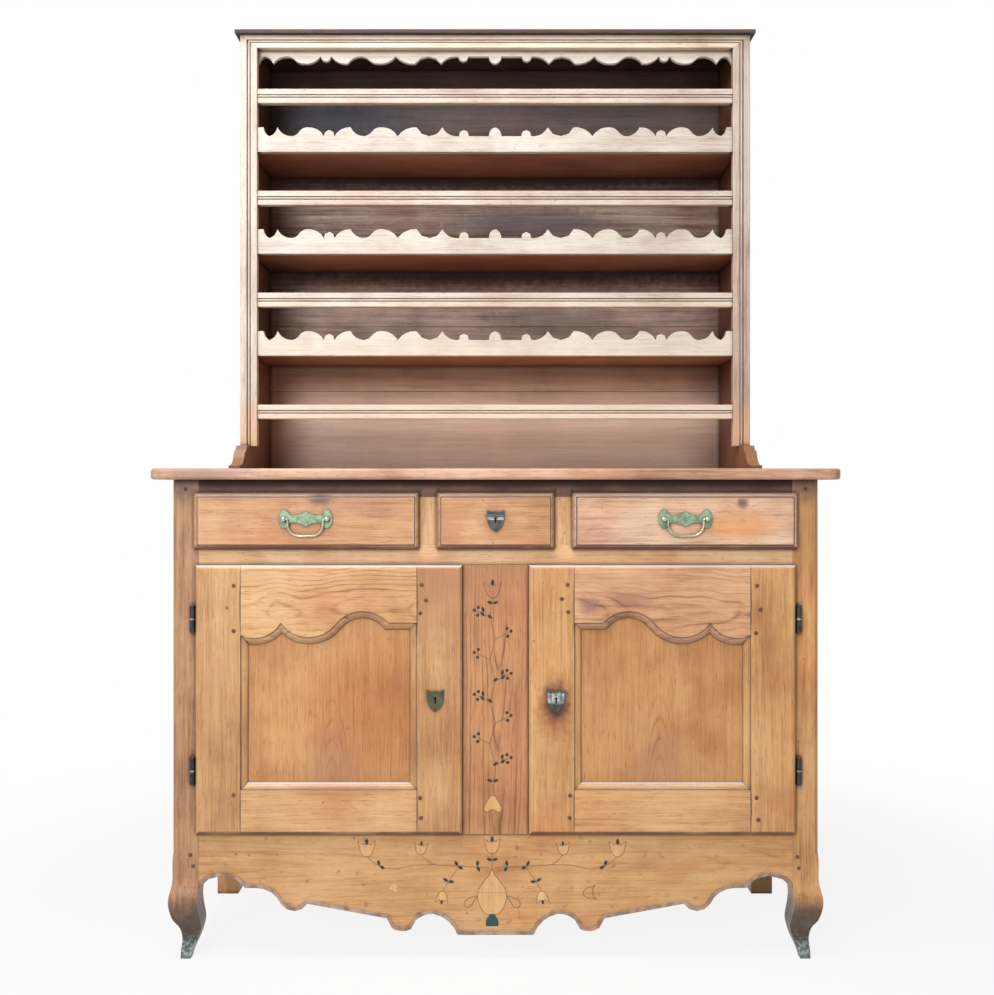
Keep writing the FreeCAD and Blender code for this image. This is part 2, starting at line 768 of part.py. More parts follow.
def door_opening():
    """Counter-clockwise outline of a right-hand door's opening, at the outer edge of its moulding."""
    span = lock_shoulder - hinge_shoulder
    corner = (hinge_shoulder, door_z[1])
    start = scaled(((door_curve_start_shares,),), corner, span, -top_rail_height)[0]
    curve = scaled(door_curve_shares, corner, span, -top_rail_height)
    foot = door_z[0] + bottom_rail_height
    return [start] + curve + [((lock_shoulder, foot),), ((hinge_shoulder, foot),)]


def moved_opening(distance):
    """The opening moved inwards, with its arcs in fine straight cuts."""
    outline = inset(door_opening(), distance)
    return [(point,) for point in straightened(outline[-1][-1], outline, door_arc_cuts)]


def door_stile_region(shoulder, outer, curve_end):
    """Front outline of all that belongs to a stile, mitred into both rails over the moulding."""
    towards_panel = math.copysign(moulding_width, shoulder - outer)
    foot = door_z[0] + bottom_rail_height
    return [
        ((outer, door_z[0] - overrun),),
        ((shoulder, door_z[0] - overrun),),
        ((shoulder, foot),),
        ((shoulder + towards_panel, foot + moulding_width),),
        ((shoulder + towards_panel, curve_end - moulding_width),),
        ((shoulder, curve_end),),
        ((shoulder, door_z[1] + overrun),),
        ((outer, door_z[1] + overrun),),
    ]


def make_doors():
    """Framed doors with shaped, moulded top rails and flat panels floating in grooves."""
    laps = (door_lip, hinge_side_lip, door_lip, door_lip)
    gaps = (front_gap, front_gap, front_gap, front_gap)
    frame = lipped_front((centre_stile_half, post_inner), (apron_top, door_opening_top), laps, gaps)
    opening = door_opening()
    outlines = [moved_opening(share * moulding_width) for share, down in moulding_shares]
    depths = [lip_front + down * moulding_depth for share, down in moulding_shares]
    frame = frame.cut(slab(outlines[0], (lip_front - overrun, depths[0])))
    frame = frame.cut(stack(outlines, [facing(y) for y in depths]))
    frame = frame.cut(slab(outlines[-1], (depths[-1], front_back + overrun)))
    groove = moved_opening(moulding_width - groove_depth)
    frame = frame.cut(slab(groove, (panel_front, panel_back)))
    panel = moved_opening(moulding_width - groove_depth + panel_edge_gap)
    add_pair("door_panel", slab(panel, (panel_front, panel_back)))

    through = (lip_front - overrun, front_back + overrun)
    hinge_end = opening[0][-1][1]
    lock_end = opening[-3][-1][1]
    hinge_region = slab(door_stile_region(hinge_shoulder, door_x[1] + overrun, hinge_end), through)
    lock_region = slab(door_stile_region(lock_shoulder, door_x[0] - overrun, lock_end), through)
    rails = frame.cut(hinge_region).cut(lock_region)
    middle = (door_z[0] + door_z[1]) / 2
    add_pair("door_hinge_stile", frame.common(hinge_region))
    add_pair("door_lock_stile", frame.common(lock_region))
    add_pair("door_top_rail", rails.common(block(door_x, through, (middle, door_z[1]))))
    add_pair("door_bottom_rail", rails.common(block(door_x, through, (door_z[0], middle))))

    low = door_z[0] + lip_edge_width + tenon_shoulder
    foot = (low, door_z[0] + bottom_rail_height - tenon_shoulder)
    high = door_z[1] - lip_edge_width - tenon_shoulder
    for side, sign in (("_right", 1), ("_left", -1)):
        to_hinge = (sign * hinge_shoulder, sign * (hinge_shoulder + door_tenon_length))
        to_lock = (sign * lock_shoulder, sign * (lock_shoulder - door_tenon_length))
        joints = ((to_hinge, "door_hinge_stile", hinge_end), (to_lock, "door_lock_stile", lock_end))
        for x, stile, end in joints:
            head = (end + tenon_shoulder, high)
            join("door_top_rail" + side, stile + side, 0, [x, door_tenon_y, head])
            join("door_bottom_rail" + side, stile + side, 0, [x, door_tenon_y, foot])


def make_hinges():
    """Barrel hinges: a lower half with its pin in the post, a ring, and an upper half in the door."""
    axis = Vector(0, 0, 1)
    tongue_half = hinge_tongue_thickness / 2
    bore_radius = hinge_pin_radius + hinge_pin_clearance
    for index, middle in enumerate(hinge_heights):
        bottom = middle - hinge_height / 2
        ring_bottom = bottom + knuckle_height
        door_bottom = ring_bottom + hinge_ring_thickness + hinge_lift_gap
        foot = Vector(hinge_x, hinge_y, bottom)
        lower = prism(knuckle_sides, hinge_radius, foot, knuckle_height)
        post_x = (hinge_x - tongue_half, hinge_x + tongue_half)
        lower_z = (bottom, ring_bottom)
        tongue = block(post_x, (hinge_y, frame_front + hinge_tongue_length), lower_z)
        slot = block(post_x, (frame_front, frame_front + hinge_tongue_length), lower_z)
        pin = prism(pin_sides, hinge_pin_radius, foot, hinge_height)
        add_pair("lower_hinge_%d" % index, lower.fuse(tongue).fuse(pin))
        ring_foot = Vector(hinge_x, hinge_y, ring_bottom)
        ring = prism(knuckle_sides, hinge_radius + hinge_ring_lip, ring_foot, hinge_ring_thickness)
        ring = ring.cut(prism(pin_sides, hinge_pin_radius, ring_foot, hinge_ring_thickness))
        add_pair("hinge_ring_%d" % index, ring)

        door_foot = Vector(hinge_x, hinge_y, door_bottom)
        upper = prism(knuckle_sides, hinge_radius, door_foot, knuckle_height)
        edge_middle = (lip_front + lip_edge_depth + lip_back) / 2
        leaf_y = (edge_middle - tongue_half, edge_middle + tongue_half)
        upper_z = (door_bottom, door_bottom + knuckle_height)
        leaf = block((door_x[1] - hinge_tongue_length, hinge_x), leaf_y, upper_z)
        leaf_slot = block((door_x[1] - hinge_tongue_length, door_x[1]), leaf_y, upper_z)
        bore = Part.makeCylinder(bore_radius, knuckle_height, door_foot, axis)
        add_pair("upper_hinge_%d" % index, upper.fuse(leaf).cut(bore))
        for side, sign in (("_right", 1), ("_left", -1)):
            post_slot = slot if sign > 0 else mirrored(slot)
            door_slot = leaf_slot if sign > 0 else mirrored(leaf_slot)
            pieces["front_post" + side] = pieces["front_post" + side].cut(post_slot)
            pieces["door_hinge_stile" + side] = pieces["door_hinge_stile" + side].cut(door_slot)


def shield(middle_x, top_z):
    """Shield escutcheon on the face of a door or drawer, and its keyhole as a separate cutter."""
    base = top_z - shield_height
    start = scaled(((shield_start_shares,),), (0, base), shield_width / 2, shield_height)[0][0]
    half = scaled(shield_shares, (0, base), shield_width / 2, shield_height)
    plate = slab(symmetric(start, half), (lip_front - shield_thickness, lip_front))
    plate.translate(Vector(middle_x, 0, 0))
    hole_z = base + keyhole_height_share * shield_height
    deep = front_back - lip_front + shield_thickness + shield_box_proud + overrun
    nose = Vector(middle_x, lip_front - shield_thickness - shield_box_proud - overrun, hole_z)
    keyhole = Part.makeCylinder(keyhole_radius, deep, nose, Vector(0, 1, 0))
    slot_x = (middle_x - keyhole_slot_width / 2, middle_x + keyhole_slot_width / 2)
    slot = block(slot_x, (nose.y, nose.y + deep), (hole_z - keyhole_slot_length, hole_z))
    return plate, keyhole.fuse(slot)


def make_escutcheons():
    """A flat shield on the left door, one with a raised box on the right door, a banded one between."""
    middle_x = door_x[0] + shield_set_in
    top_z = door_z[0] + shield_rise + shield_height
    plate, keyhole = shield(-middle_x, top_z)
    pieces["left_door_escutcheon"] = plate.cut(keyhole)
    pieces["door_lock_stile_left"] = pieces["door_lock_stile_left"].cut(keyhole)

    plate, keyhole = shield(middle_x, top_z)
    box_half = box_half_width_share * shield_width
    box_x = (middle_x - box_half, middle_x + box_half)
    band_z = top_z - shield_height + band_height_share * shield_height
    proud = lip_front - shield_thickness
    box_z = (band_z - box_drop_share * shield_height, top_z - shield_band_height)
    raised = block(box_x, (proud - shield_box_proud, proud), box_z)
    pieces["right_door_escutcheon"] = plate.fuse(raised).cut(keyhole)
    pieces["door_lock_stile_right"] = pieces["door_lock_stile_right"].cut(keyhole)

    drawer_shield_top = (drawer_bottom + drawer_top + shield_height) / 2
    plate, keyhole = shield(0, drawer_shield_top)
    band_z = drawer_shield_top - shield_height + band_height_share * shield_height
    band_x = (-shield_width / 2, shield_width / 2)
    band = block(band_x, (proud - shield_band_proud, proud), (band_z, band_z + shield_band_height))
    pieces["centre_drawer_escutcheon"] = plate.fuse(band).cut(keyhole)
    pieces["centre_drawer_front"] = pieces["centre_drawer_front"].cut(keyhole)
    return top_z


def make_locks(lock_middle_z):
    """Surface locks on the backs of the doors and the centre drawer, with bolts drawn in."""
    case_y = (front_back, front_back + lock_depth)
    bolt_middle = (case_y[0] + case_y[1]) / 2
    bolt_y = (bolt_middle - bolt_thickness / 2, bolt_middle + bolt_thickness / 2)
    cavity_y = (bolt_y[0] - bolt_gap, bolt_y[1] + bolt_gap)
    edge = centre_stile_half + front_gap
    case_z = (lock_middle_z - lock_height / 2, lock_middle_z + lock_height / 2)
    bolt_z = (lock_middle_z - bolt_height / 2, lock_middle_z + bolt_height / 2)
    cavity_z = (bolt_z[0] - bolt_gap, bolt_z[1] + bolt_gap)
    case = block((edge, edge + lock_width), case_y, case_z)
    tip = edge + bolt_set_back
    case = case.cut(block((edge, tip + bolt_length + bolt_gap), cavity_y, cavity_z))
    add_pair("door_lock", case)
    add_pair("door_bolt", block((tip, tip + bolt_length), bolt_y, bolt_z))
    keeper = block((tip - bolt_travel - mortise_end_gap, centre_stile_half), cavity_y, cavity_z)
    pieces["centre_stile"] = pieces["centre_stile"].cut(keeper).cut(mirrored(keeper))

    top = drawer_top - front_gap
    drawer_floor = drawer_bottom + runner_gap + drawer_bottom_rise + drawer_bottom_thickness
    drawer_case_z = (drawer_floor + lock_lift, top)
    bolt_x = (-bolt_height / 2, bolt_height / 2)
    cavity_x = (bolt_x[0] - bolt_gap, bolt_x[1] + bolt_gap)
    tip = top - bolt_set_back
    case = block((-lock_width / 2, lock_width / 2), case_y, drawer_case_z)
    case = case.cut(block(cavity_x, cavity_y, (tip - bolt_length - bolt_gap, top)))
    pieces["centre_drawer_lock"] = case
    pieces["centre_drawer_bolt"] = block(bolt_x, bolt_y, (tip - bolt_length, tip))
    keeper = block(cavity_x, cavity_y, (drawer_top, tip + bolt_travel + mortise_end_gap))
    pieces["upper_front_rail"] = pieces["upper_front_rail"].cut(keeper)


def bent_bar(points, sides, radius):
    """A bar with many equal sides, mitred at each point (x, z) of a path."""
    corners = [Vector(x, 0, z) for x, z in points]
    rings = []
    for index, corner in enumerate(corners):
        arriving = corner - corners[max(index - 1, 0)]
        leaving = corners[min(index + 1, len(corners) - 1)] - corner
        arriving = (arriving if arriving.Length else leaving).normalize()
        leaving = (leaving if leaving.Length else arriving).normalize()
        normal = Vector(-arriving.z - leaving.z, 0, arriving.x + leaving.x)
        across = normal * (radius / (1 + arriving.dot(leaving)))
        angles = [2 * math.pi * (side + 0.5) / sides for side in range(sides)]
        ring = [corner + across * math.cos(a) + Vector(0, radius * math.sin(a), 0) for a in angles]
        rings.append(ring + ring[:1])
    faces = [Part.Face(Part.makePolygon(ring)) for ring in (rings[0], rings[-1])]
    for ring, following in zip(rings, rings[1:]):
        for side in range(sides):
            outline = [ring[side], ring[side + 1], following[side + 1], following[side], ring[side]]
            faces.append(Part.Face(Part.makePolygon(outline)))
    return Part.makeSolid(Part.makeShell(faces))


def make_pull_plate(name, middle_x):
    """A shaped backplate with two posts that are bored for the bail."""
    half_size = (pull_plate_width / 2, pull_plate_height / 2)
    start = scaled(((pull_start_shares,),), (0, 0), *half_size)[0][0]
    top = symmetric(start, scaled(pull_shares, (0, 0), *half_size))
    bottom = symmetric((start[0], -start[1]), scaled(pull_shares, (0, 0), half_size[0], -half_size[1]))
    returning = []
    ends = [(-half_size[0], 0)] + [step[-1] for step in bottom]
    for index in reversed(range(len(bottom))):
        returning.append(bottom[index][:-1] + (ends[index],))
    plate_front = lip_front - pull_plate_thickness
    plate = slab(top + returning, (plate_front, lip_front))
    axis = Vector(1, 0, 0)
    bore_radius = bail_radius + bail_hole_clearance
    for sign in (1, -1):
        post_x = sign * pull_post_spacing / 2
        post = prism(post_sides, pull_post_radius, Vector(0, 0, 0), pull_post_length)
        post.rotate(Vector(0, 0, 0), axis, 90)
        post.translate(Vector(post_x, plate_front, 0))
        plate = plate.fuse(post)
        mouth = Vector(post_x - pull_post_radius - overrun, bail_y, 0)
        hole = Part.makeCylinder(bore_radius, 2 * (pull_post_radius + overrun), mouth, axis)
        plate = plate.cut(hole)
    plate.translate(Vector(middle_x, 0, pull_z))
    pieces[name + "_pull_plate"] = plate


def make_bail(name, middle_x):
    """A bail that hangs between the posts of a pull, with an end in each of them."""
    pin_end = pull_post_spacing / 2 + pull_post_radius
    bend_start = pull_post_spacing / 2 - pull_post_radius - bail_hole_clearance
    arm = bend_start - bail_bend_radius
    corner_start = bail_corner_radius - bail_drop
    bend_share = 1 - math.cos(math.pi / 4)
    bend_middle = (arm + bail_bend_radius * bend_share, -bail_bend_radius * bend_share)
    corner_inset = bail_corner_radius * bend_share
    corner_middle = (arm - corner_inset, corner_inset - bail_drop)
    half = [
        ((arm - bail_corner_radius, -bail_drop),),
        (corner_middle, (arm, corner_start)),
        ((arm, -bail_bend_radius),),
        (bend_middle, (bend_start, 0)),
        ((pin_end, 0),),
    ]
    tip = (-pin_end, 0)
    steps = symmetric((0, -bail_drop), half)
    bail = bent_bar([tip] + straightened(tip, steps, arc_cuts), bail_sides, bail_radius)
    bail.translate(Vector(middle_x, bail_y, pull_z))
    pieces[name + "_bail"] = bail


def moulded_outline(width, thickness):
    """Section of a moulded strip: across its face from 0 to width, and back to its thickness."""
    face = [tuple((a * width, b * moulding_groove_depth) for a, b in step) for step in face_moulding_shares]
    return face + [((width, thickness),), ((0, thickness),), ((0, 0),)]


def make_hutch_frame():
    """Hutch sides with bracket feet, mitred stiles and frieze, cap and scalloped valance."""
    steps = scaled(bracket_shares, (bracket_tip, buffet_height), bracket_reach, bracket_height)
    outline = steps + [
        ((stile_back, bracket_top),),
        ((stile_back, cap_bottom),),
        ((hutch_back, cap_bottom),),
        ((hutch_back, buffet_height),),
        ((bracket_tip, buffet_height),),
    ]
    side = extruded(outline, from_side(hutch_inner), Vector(hutch_side_thickness, 0, 0))
    rabbet_x = (hutch_inner, hutch_inner + hutch_rabbet_width)
    side = side.cut(block(rabbet_x, (hutch_back_front, hutch_back), (buffet_height, cap_bottom)))
    add_pair("hutch_side", side)

    section = moulded_outline(hutch_stile_width, hutch_stile_thickness)
    stile_section = [tuple((hutch_half - a, hutch_front + b) for a, b in step) for step in section]
    stile = extruded(stile_section, from_above(bracket_top), Vector(0, 0, cap_bottom - bracket_top))
    mitre = [
        ((hutch_half + hutch_stile_width, cap_bottom + frieze_height),),
        ((rack_half, cap_bottom + frieze_height),),
        ((rack_half, frieze_bottom),),
    ]
    corner_cut = slab(mitre, (hutch_front - overrun, stile_back + overrun))
    add_pair("hutch_stile", stile.cut(corner_cut))

    section = moulded_outline(frieze_height, hutch_stile_thickness)
    frieze_section = [tuple((hutch_front + b, cap_bottom - a) for a, b in step) for step in section]
    frieze = extruded(frieze_section, from_side(-hutch_half), Vector(2 * hutch_half, 0, 0))
    outer = [
        ((hutch_half, cap_bottom),),
        ((rack_half, frieze_bottom),),
        ((hutch_half, frieze_bottom),),
    ]
    end_cut = slab(outer, (hutch_front - overrun, stile_back + overrun))
    pieces["hutch_frieze"] = frieze.cut(end_cut).cut(mirrored(end_cut))

    cap_x = (-hutch_half - cap_overhang, hutch_half + cap_overhang)
    pieces["hutch_cap"] = block(cap_x, (hutch_front - cap_overhang, hutch_back), (cap_bottom, hutch_height))
    valance_bottom = cap_bottom - valance_drop
    valance_y = (stile_back, stile_back + valance_thickness)
    pieces["hutch_valance"] = shaped_board(
        hutch_inner, scallop_start_shares, scallop_shares, valance_bottom + valance_scallop,
        valance_bottom, valance_bottom + valance_height, valance_y)


def make_plate_rack():
    """Plate shelves in dados, scalloped gallery rails, moulded plate bars and the back boards."""
    for row, bottom in enumerate(shelf_heights):
        x = (-hutch_inner - dado_depth, hutch_inner + dado_depth)
        z = (bottom, bottom + plate_shelf_thickness)
        shelf = block(x, (stile_back, hutch_back_front), z)
        groove_back = hutch_back_front - plate_groove_set_in
        groove_y = (groove_back - plate_groove_width, groove_back)
        for side in ("_right", "_left"):
            pieces["hutch_side" + side] = pieces["hutch_side" + side].cut(shelf)
        groove = block((-hutch_inner, hutch_inner), groove_y, (z[1] - plate_groove_depth, z[1]))
        pieces["plate_shelf_%d" % row] = shelf.cut(groove)
        top = bottom + gallery_height
        gallery_y = (gallery_front, stile_back)
        pieces["gallery_rail_%d" % row] = shaped_board(
            rack_half, scallop_start_shares, scallop_shares, top - gallery_scallop, top, bottom, gallery_y)

    section = moulded_outline(bar_height, bar_thickness)
    for row, bottom in enumerate(bar_heights):
        name = "plate_bar_%d" % row
        bar_section = [tuple((bar_front + b, bottom + bar_height - a) for a, b in step) for step in section]
        pieces[name] = extruded(bar_section, from_side(-rack_half), Vector(2 * rack_half, 0, 0))
        tenon_y = (bar_front + bar_thickness / 2, bar_front + bar_thickness)
        tenon_z = (bottom + tenon_shoulder, bottom + bar_height - tenon_shoulder)
        tenon_x = (rack_half, rack_half + stub_tenon_length)
        join_both_sides(name, "hutch_stile", 0, [tenon_x, tenon_y, tenon_z])

    board_x = (-hutch_inner - hutch_rabbet_width, hutch_inner + hutch_rabbet_width)
    board_y = (hutch_back_front, hutch_back)
    for index in range(len(back_joints) - 1):
        z = (back_joints[index], back_joints[index + 1] - board_gap)
        pieces["hutch_back_board_%d" % index] = block(board_x, board_y, z)


def both(*names):
    """The left-hand and right-hand pieces of each name."""
    return [name + side for name in names for side in ("_left", "_right")]


def numbered(name, count):
    return ["%s_%d" % (name, index) for index in range(count)]


make_front_posts()
make_front_frame()
make_sides()
make_back()
make_inside()
make_top()
make_drawer("left_drawer", (-post_inner, -divider_outer))
make_drawer("centre_drawer", (-centre_half, centre_half))
make_drawer("right_drawer", (divider_outer, post_inner))
make_doors()
make_hinges()
shield_top = make_escutcheons()
make_locks(shield_top - shield_height + keyhole_height_share * shield_height)
for drawer, middle in (("left_drawer", -side_drawer_middle), ("right_drawer", side_drawer_middle)):
    make_pull_plate(drawer, middle)
    make_bail(drawer, middle)
make_hutch_frame()
make_plate_rack()

# Nodes that hold several like solids; every other piece is a node of its own
grouped_nodes = {
    "rear_posts": both("rear_post"),
    "drawer_dividers": both("drawer_divider"),
    "side_rails": both("side_top_rail", "side_bottom_rail"),
    "side_panels": both("side_panel"),
    "back_rails": ["back_rail_top", "back_rail_middle", "back_rail_bottom"],
    "buffet_back_boards": numbered("back_board", back_board_count),
    "cupboard_cleats": both("floor_cleat", "shelf_cleat"),
    "drawer_runners": both("outer_runner", "outer_guide", "inner_runner", "inner_guide"),
    "lower_hinge_halves": both("lower_hinge_0", "lower_hinge_1", "hinge_ring_0", "hinge_ring_1"),
    "left_door_hinge_halves": ["upper_hinge_0_left", "upper_hinge_1_left"],
    "right_door_hinge_halves": ["upper_hinge_0_right", "upper_hinge_1_right"],
    "plate_shelves": numbered("plate_shelf", len(shelf_heights)),
    "gallery_rails": numbered("gallery_rail", len(shelf_heights)),
    "plate_bars": numbered("plate_bar", len(bar_heights)),
    "hutch_back_boards": numbered("hutch_back_board", len(back_joints) - 1),
}
for drawer in ("left_drawer", "centre_drawer", "right_drawer"):
    box_parts = ("side_left", "side_right", "back", "bottom")
    grouped_nodes[drawer + "_box"] = ["%s_%s" % (drawer, part) for part in box_parts]


def write_nodes():
    os.makedirs("parts", exist_ok=True)
    grouped = set()
    for node, names in grouped_nodes.items():
        grouped.update(names)
        Part.makeCompound([pieces[name] for name in names]).exportStep("parts/%s.step" % node)
    for name, shape in pieces.items():
        if name not in grouped:
            shape.exportStep("parts/%s.step" % name)


write_nodes()
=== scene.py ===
"""Looks of a buffet and hutch: old cherry, inlay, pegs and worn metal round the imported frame.

Metres, in the frame's own axes: X to the right, Y to the back, Z up.
"""

import math
import random
from collections import namedtuple

import bmesh
import bpy
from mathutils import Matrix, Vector


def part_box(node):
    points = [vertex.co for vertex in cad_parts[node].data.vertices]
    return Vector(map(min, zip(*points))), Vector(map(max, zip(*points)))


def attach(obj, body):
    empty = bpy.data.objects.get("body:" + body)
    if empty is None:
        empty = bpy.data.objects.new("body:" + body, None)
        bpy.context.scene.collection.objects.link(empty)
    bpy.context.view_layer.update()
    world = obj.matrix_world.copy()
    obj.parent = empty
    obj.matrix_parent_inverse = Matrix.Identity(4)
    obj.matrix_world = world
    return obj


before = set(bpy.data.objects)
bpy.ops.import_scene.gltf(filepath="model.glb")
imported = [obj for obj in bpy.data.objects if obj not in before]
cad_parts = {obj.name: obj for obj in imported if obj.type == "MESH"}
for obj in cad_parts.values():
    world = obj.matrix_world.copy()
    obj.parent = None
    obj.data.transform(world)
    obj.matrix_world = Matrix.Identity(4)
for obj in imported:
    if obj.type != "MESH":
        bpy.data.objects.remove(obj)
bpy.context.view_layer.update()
chance = random.Random(7)

# Camera: straight on, a little below the top board
lens = 45.6
sensor_width = 36.0
camera_place = (-0.0114, -2.827, 0.983)
camera_shift = (0.0070, -0.0126)

# Light: large soft lamps (place, target, width, watts), an even surround, and the floor's fade to white
overhead_lamp = ((-0.7, -1.3, 3.9), (0.0, 0.0, 0.9), 1.6, 92.0)
key_lamp = ((-1.6, -4.9, 2.8), (0.0, 0.0, 1.0), 2.0, 160.0)
surround_light = 0.14
floor_half = 9.0
floor_white = (0.9, 2.2)
floor_share = 0.88

# Depths of the front faces, taken from the frame
door_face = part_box("door_lock_stile_left")[0].y
stile_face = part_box("centre_stile")[0].y
apron_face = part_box("front_apron")[0].y
rail_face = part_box("middle_front_rail")[0].y
back_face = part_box("hutch_back_boards")[0].y

# Doors: from a panel's hidden edge to the joint of stile and rail, and that joint's line
moulding_seam = 0.008
seam_half = 0.0030
seam_depth = 0.03
seam_share = 0.6

# Hinges: heights of a knuckle and of the ring under it
hinge_knuckle = 0.02685
hinge_ring = 0.003

# Hutch: plate shelves, depth of the stains and painted shade on the back boards, joints of the back boards,
# and the strips that close them
shelf_thickness = 0.020
back_patch_depth = 0.010
back_joint_shares = (0.199, 0.360, 0.587, 0.793)
tongue_half = 0.002
tongue_thickness = 0.004
tongue_end_gap = 0.006
tongue_sides = 8

# Round heads: radius, height, number of sides, and how deep they are sunk
door_peg = (0.0044, 0.0008, 9, 0.002)
frame_peg = (0.0042, 0.0008, 9, 0.002)
nail = (0.0017, 0.0011, 10, 0.001)
knob = (0.0047, 0.0022, 14, 0.001)

# Pegs, as (x, z) on the doors, on the posts and under the top
door_peg_spots = {
    "left_door": (
        (-0.538, 0.776), (-0.538, 0.683), (-0.538, 0.346), (-0.152, 0.778), (-0.143, 0.746), (-0.155, 0.720),
        (-0.155, 0.340), (-0.153, 0.299),
    ),
    "right_door": (
        (0.148, 0.778), (0.136, 0.749), (0.149, 0.722), (0.153, 0.345), (0.152, 0.299), (0.537, 0.776),
        (0.544, 0.727), (0.535, 0.679), (0.536, 0.340), (0.540, 0.295),
    ),
}
post_peg_spots = ((-0.630, 0.219), (-0.624, 0.196), (0.623, 0.215), (0.626, 0.192))
rail_peg_spots = (
    (-0.157, 0.972), (-0.120, 0.972), (0.122, 0.972), (0.157, 0.972), (-0.640, 0.975), (0.640, 0.975),
)

# Escutcheons: thickness, nails as distance from the middle and share of the height, and bare bright bands
escutcheon_thickness = 0.002
nail_places = ((-0.0125, 0.88), (0.0125, 0.88), (0.0, 0.12))
bright_shares = {"right_door_escutcheon": (0.40, 0.86), "centre_drawer_escutcheon": (0.55, 0.68)}

# Pulls: distance between the knobs
knob_spacing = 0.089

# Drawers: a dark line of painted shade round the flat of the front, and a pale line of painted highlight
# inside it, as half widths and places inside its edge
flat_tolerance = 0.0002
groove_half = 0.0009
groove_inset = 0.0008
highlight_half = 0.0008
highlight_inset = 0.0027

# Inlay, in general: leaves, thin lines and berries
leaf_size = 0.0125
leaf_cuts = 8
leaf_belly_share = 0.25
leaf_spread = 0.3
stem_width = 0.0004
line_width = 0.00045
berry_radius = 0.0034
berry_sides = 9
bud_share = 0.44

# Inlay, how far it stands out of the wood and reaches into it
line_proud = 0.0003
inlay_proud = 0.0004
overlay_proud = 0.0006
inlay_sunk = 0.0008
rim_share = 0.4
shoulder_share = 0.88

# Inlay of the centre stile: tulips and leaf pairs at its ends, and sprays in turn to the left and right
stile_inlay_x = -0.006
stile_tulip_size = 0.031
stile_tulip_heights = (0.767, 0.326)
stile_leaf_heights = (0.739, 0.372)
stile_vine_ends = (0.755, 0.335)
spray_count = 8
leafy_sprays = (0, 3, 4, 7)
spray_top = 0.7233
spray_pitch = 0.0434
spray_reach = 0.033
vine_swing = 0.006
vine_drop = 0.014
berry_spots = ((0.0048, 0.0016), (-0.0037, 0.0074), (-0.0021, -0.0086))
spray_leaves = ((-0.0145, -0.003, 1.35), (-0.0165, -0.0105, 0.75), (-0.032, -0.0155, 0.7))

# Inlay of the apron, as (outward, height) to both sides of the vase: tulips also with size and turn
apron_inlay_x = -0.007
apron_crown = (0.238, 0.029)
apron_crown_leaves = 0.208
apron_crown_stem = (0.222, 0.188)
apron_tulips = (
    (0.103, 0.132, 0.022, math.pi + 0.15), (0.147, 0.232, 0.023, 0.10), (0.259, 0.232, 0.030, 0.0),
)
apron_leaves = ((0.031, 0.196, 1.4), (0.071, 0.196, 0.8), (0.091, 0.164, 0.3), (0.232, 0.197, 0.9))
apron_vines = (
    ((0.004, 0.192), (0.031, 0.194), (0.068, 0.196), (0.088, 0.168), (0.101, 0.146)),
    ((0.146, 0.219), (0.135, 0.207), (0.122, 0.199), (0.095, 0.197), (0.068, 0.196)),
    ((0.257, 0.214), (0.243, 0.202), (0.231, 0.194), (0.200, 0.190), (0.165, 0.198), (0.122, 0.199)),
)
fallen_tulip = (-0.210, 0.150, 0.018, 2.7)
lost_tulip = (0.194, 0.141, 0.024, -1.5)
vase_middle = 0.142
vase_size = 0.0465
vase_foot_height = 0.085
vase_foot_size = 0.0128
vase_handle = (
    (0.0285, 0.1350), (0.041, 0.1325), (0.051, 0.1280), (0.0575, 0.1215), (0.0580, 0.1150), (0.0535, 0.1110),
    (0.047, 0.1110), (0.042, 0.1150), (0.0385, 0.1220), (0.0345, 0.1290), (0.0285, 0.1335),
)
vase_dashes = 9
dash_pitch = 0.0064
dash_half = 0.002

# Half outlines of inlaid shapes, from the top middle to the bottom middle, as shares of a size
tulip_shares = (
    (0.0, 0.26), (0.13, 0.36), (0.24, 0.24), (0.60, 0.52), (0.50, 0.14), (0.42, -0.22), (0.24, -0.48),
    (0.0, -0.56),
)
bell_shares = (
    (0.0, 0.56), (0.18, 0.48), (0.36, 0.16), (0.60, -0.28), (0.54, -0.52), (0.36, -0.56), (0.18, -0.42),
    (0.0, -0.40),
)
vase_shares = (
    (0.0, 1.0), (0.06, 0.92), (0.10, 0.78), (0.30, 0.54), (0.52, 0.26), (0.64, -0.02), (0.64, -0.26),
    (0.58, -0.52), (0.46, -0.76), (0.30, -0.94), (0.16, -1.0), (0.0, -1.0),
)
foot_shares = ((0.0, 1.0), (0.50, 1.0), (0.56, 0.55), (0.90, 0.20), (1.05, -0.55), (0.95, -1.0), (0.0, -1.0))

# Reach of wear and painted shade: rubbed edges, dirt and painted shade in wide and close corners, fine
# relief, dark lines of dirt and painted shade, and the apron's rim
wood_edge = 0.0022
wood_corner = 0.030
wood_crevice = 0.009
wood_relief = 0.0012
metal_edge = 0.0009
metal_crevice = 0.007
metal_relief = 0.0006
drawer_line = 0.0055
apron_rim = 0.016
hutch_corner = 0.10
hutch_side_corner = 0.22

# Year lines: place of the pith across the board and in depth, its lean both ways, their spacing and reach
year_leans = (0.006, 0.02)
year_spacing = 0.006
year_reach = 2.0
year_names = "across depth lean_across lean_depth spacing reach"
year_lines = namedtuple("year_lines", year_names, defaults=(*year_leans, year_spacing, year_reach))
plain_lines = (0.0, 0.12)
top_lines = (0.9, 0.3)
apron_lines = (0.20, -0.19, 0.0, 0.05, 0.011)
stile_lines = (0.0, -0.265, 0.01, 0.04, 0.0085)
side_lines = (0.02, 0.62, 0.0, 0.03, 0.012)
drawer_lines = (-0.28, 0.02, 0.03, 0.012)
drawer_pith = 0.93
drawer_pith_step = 0.02
hutch_lines = (1.0, -0.4)
back_lines = (1.2, 0.30, 0.003, 0.02, 0.012)

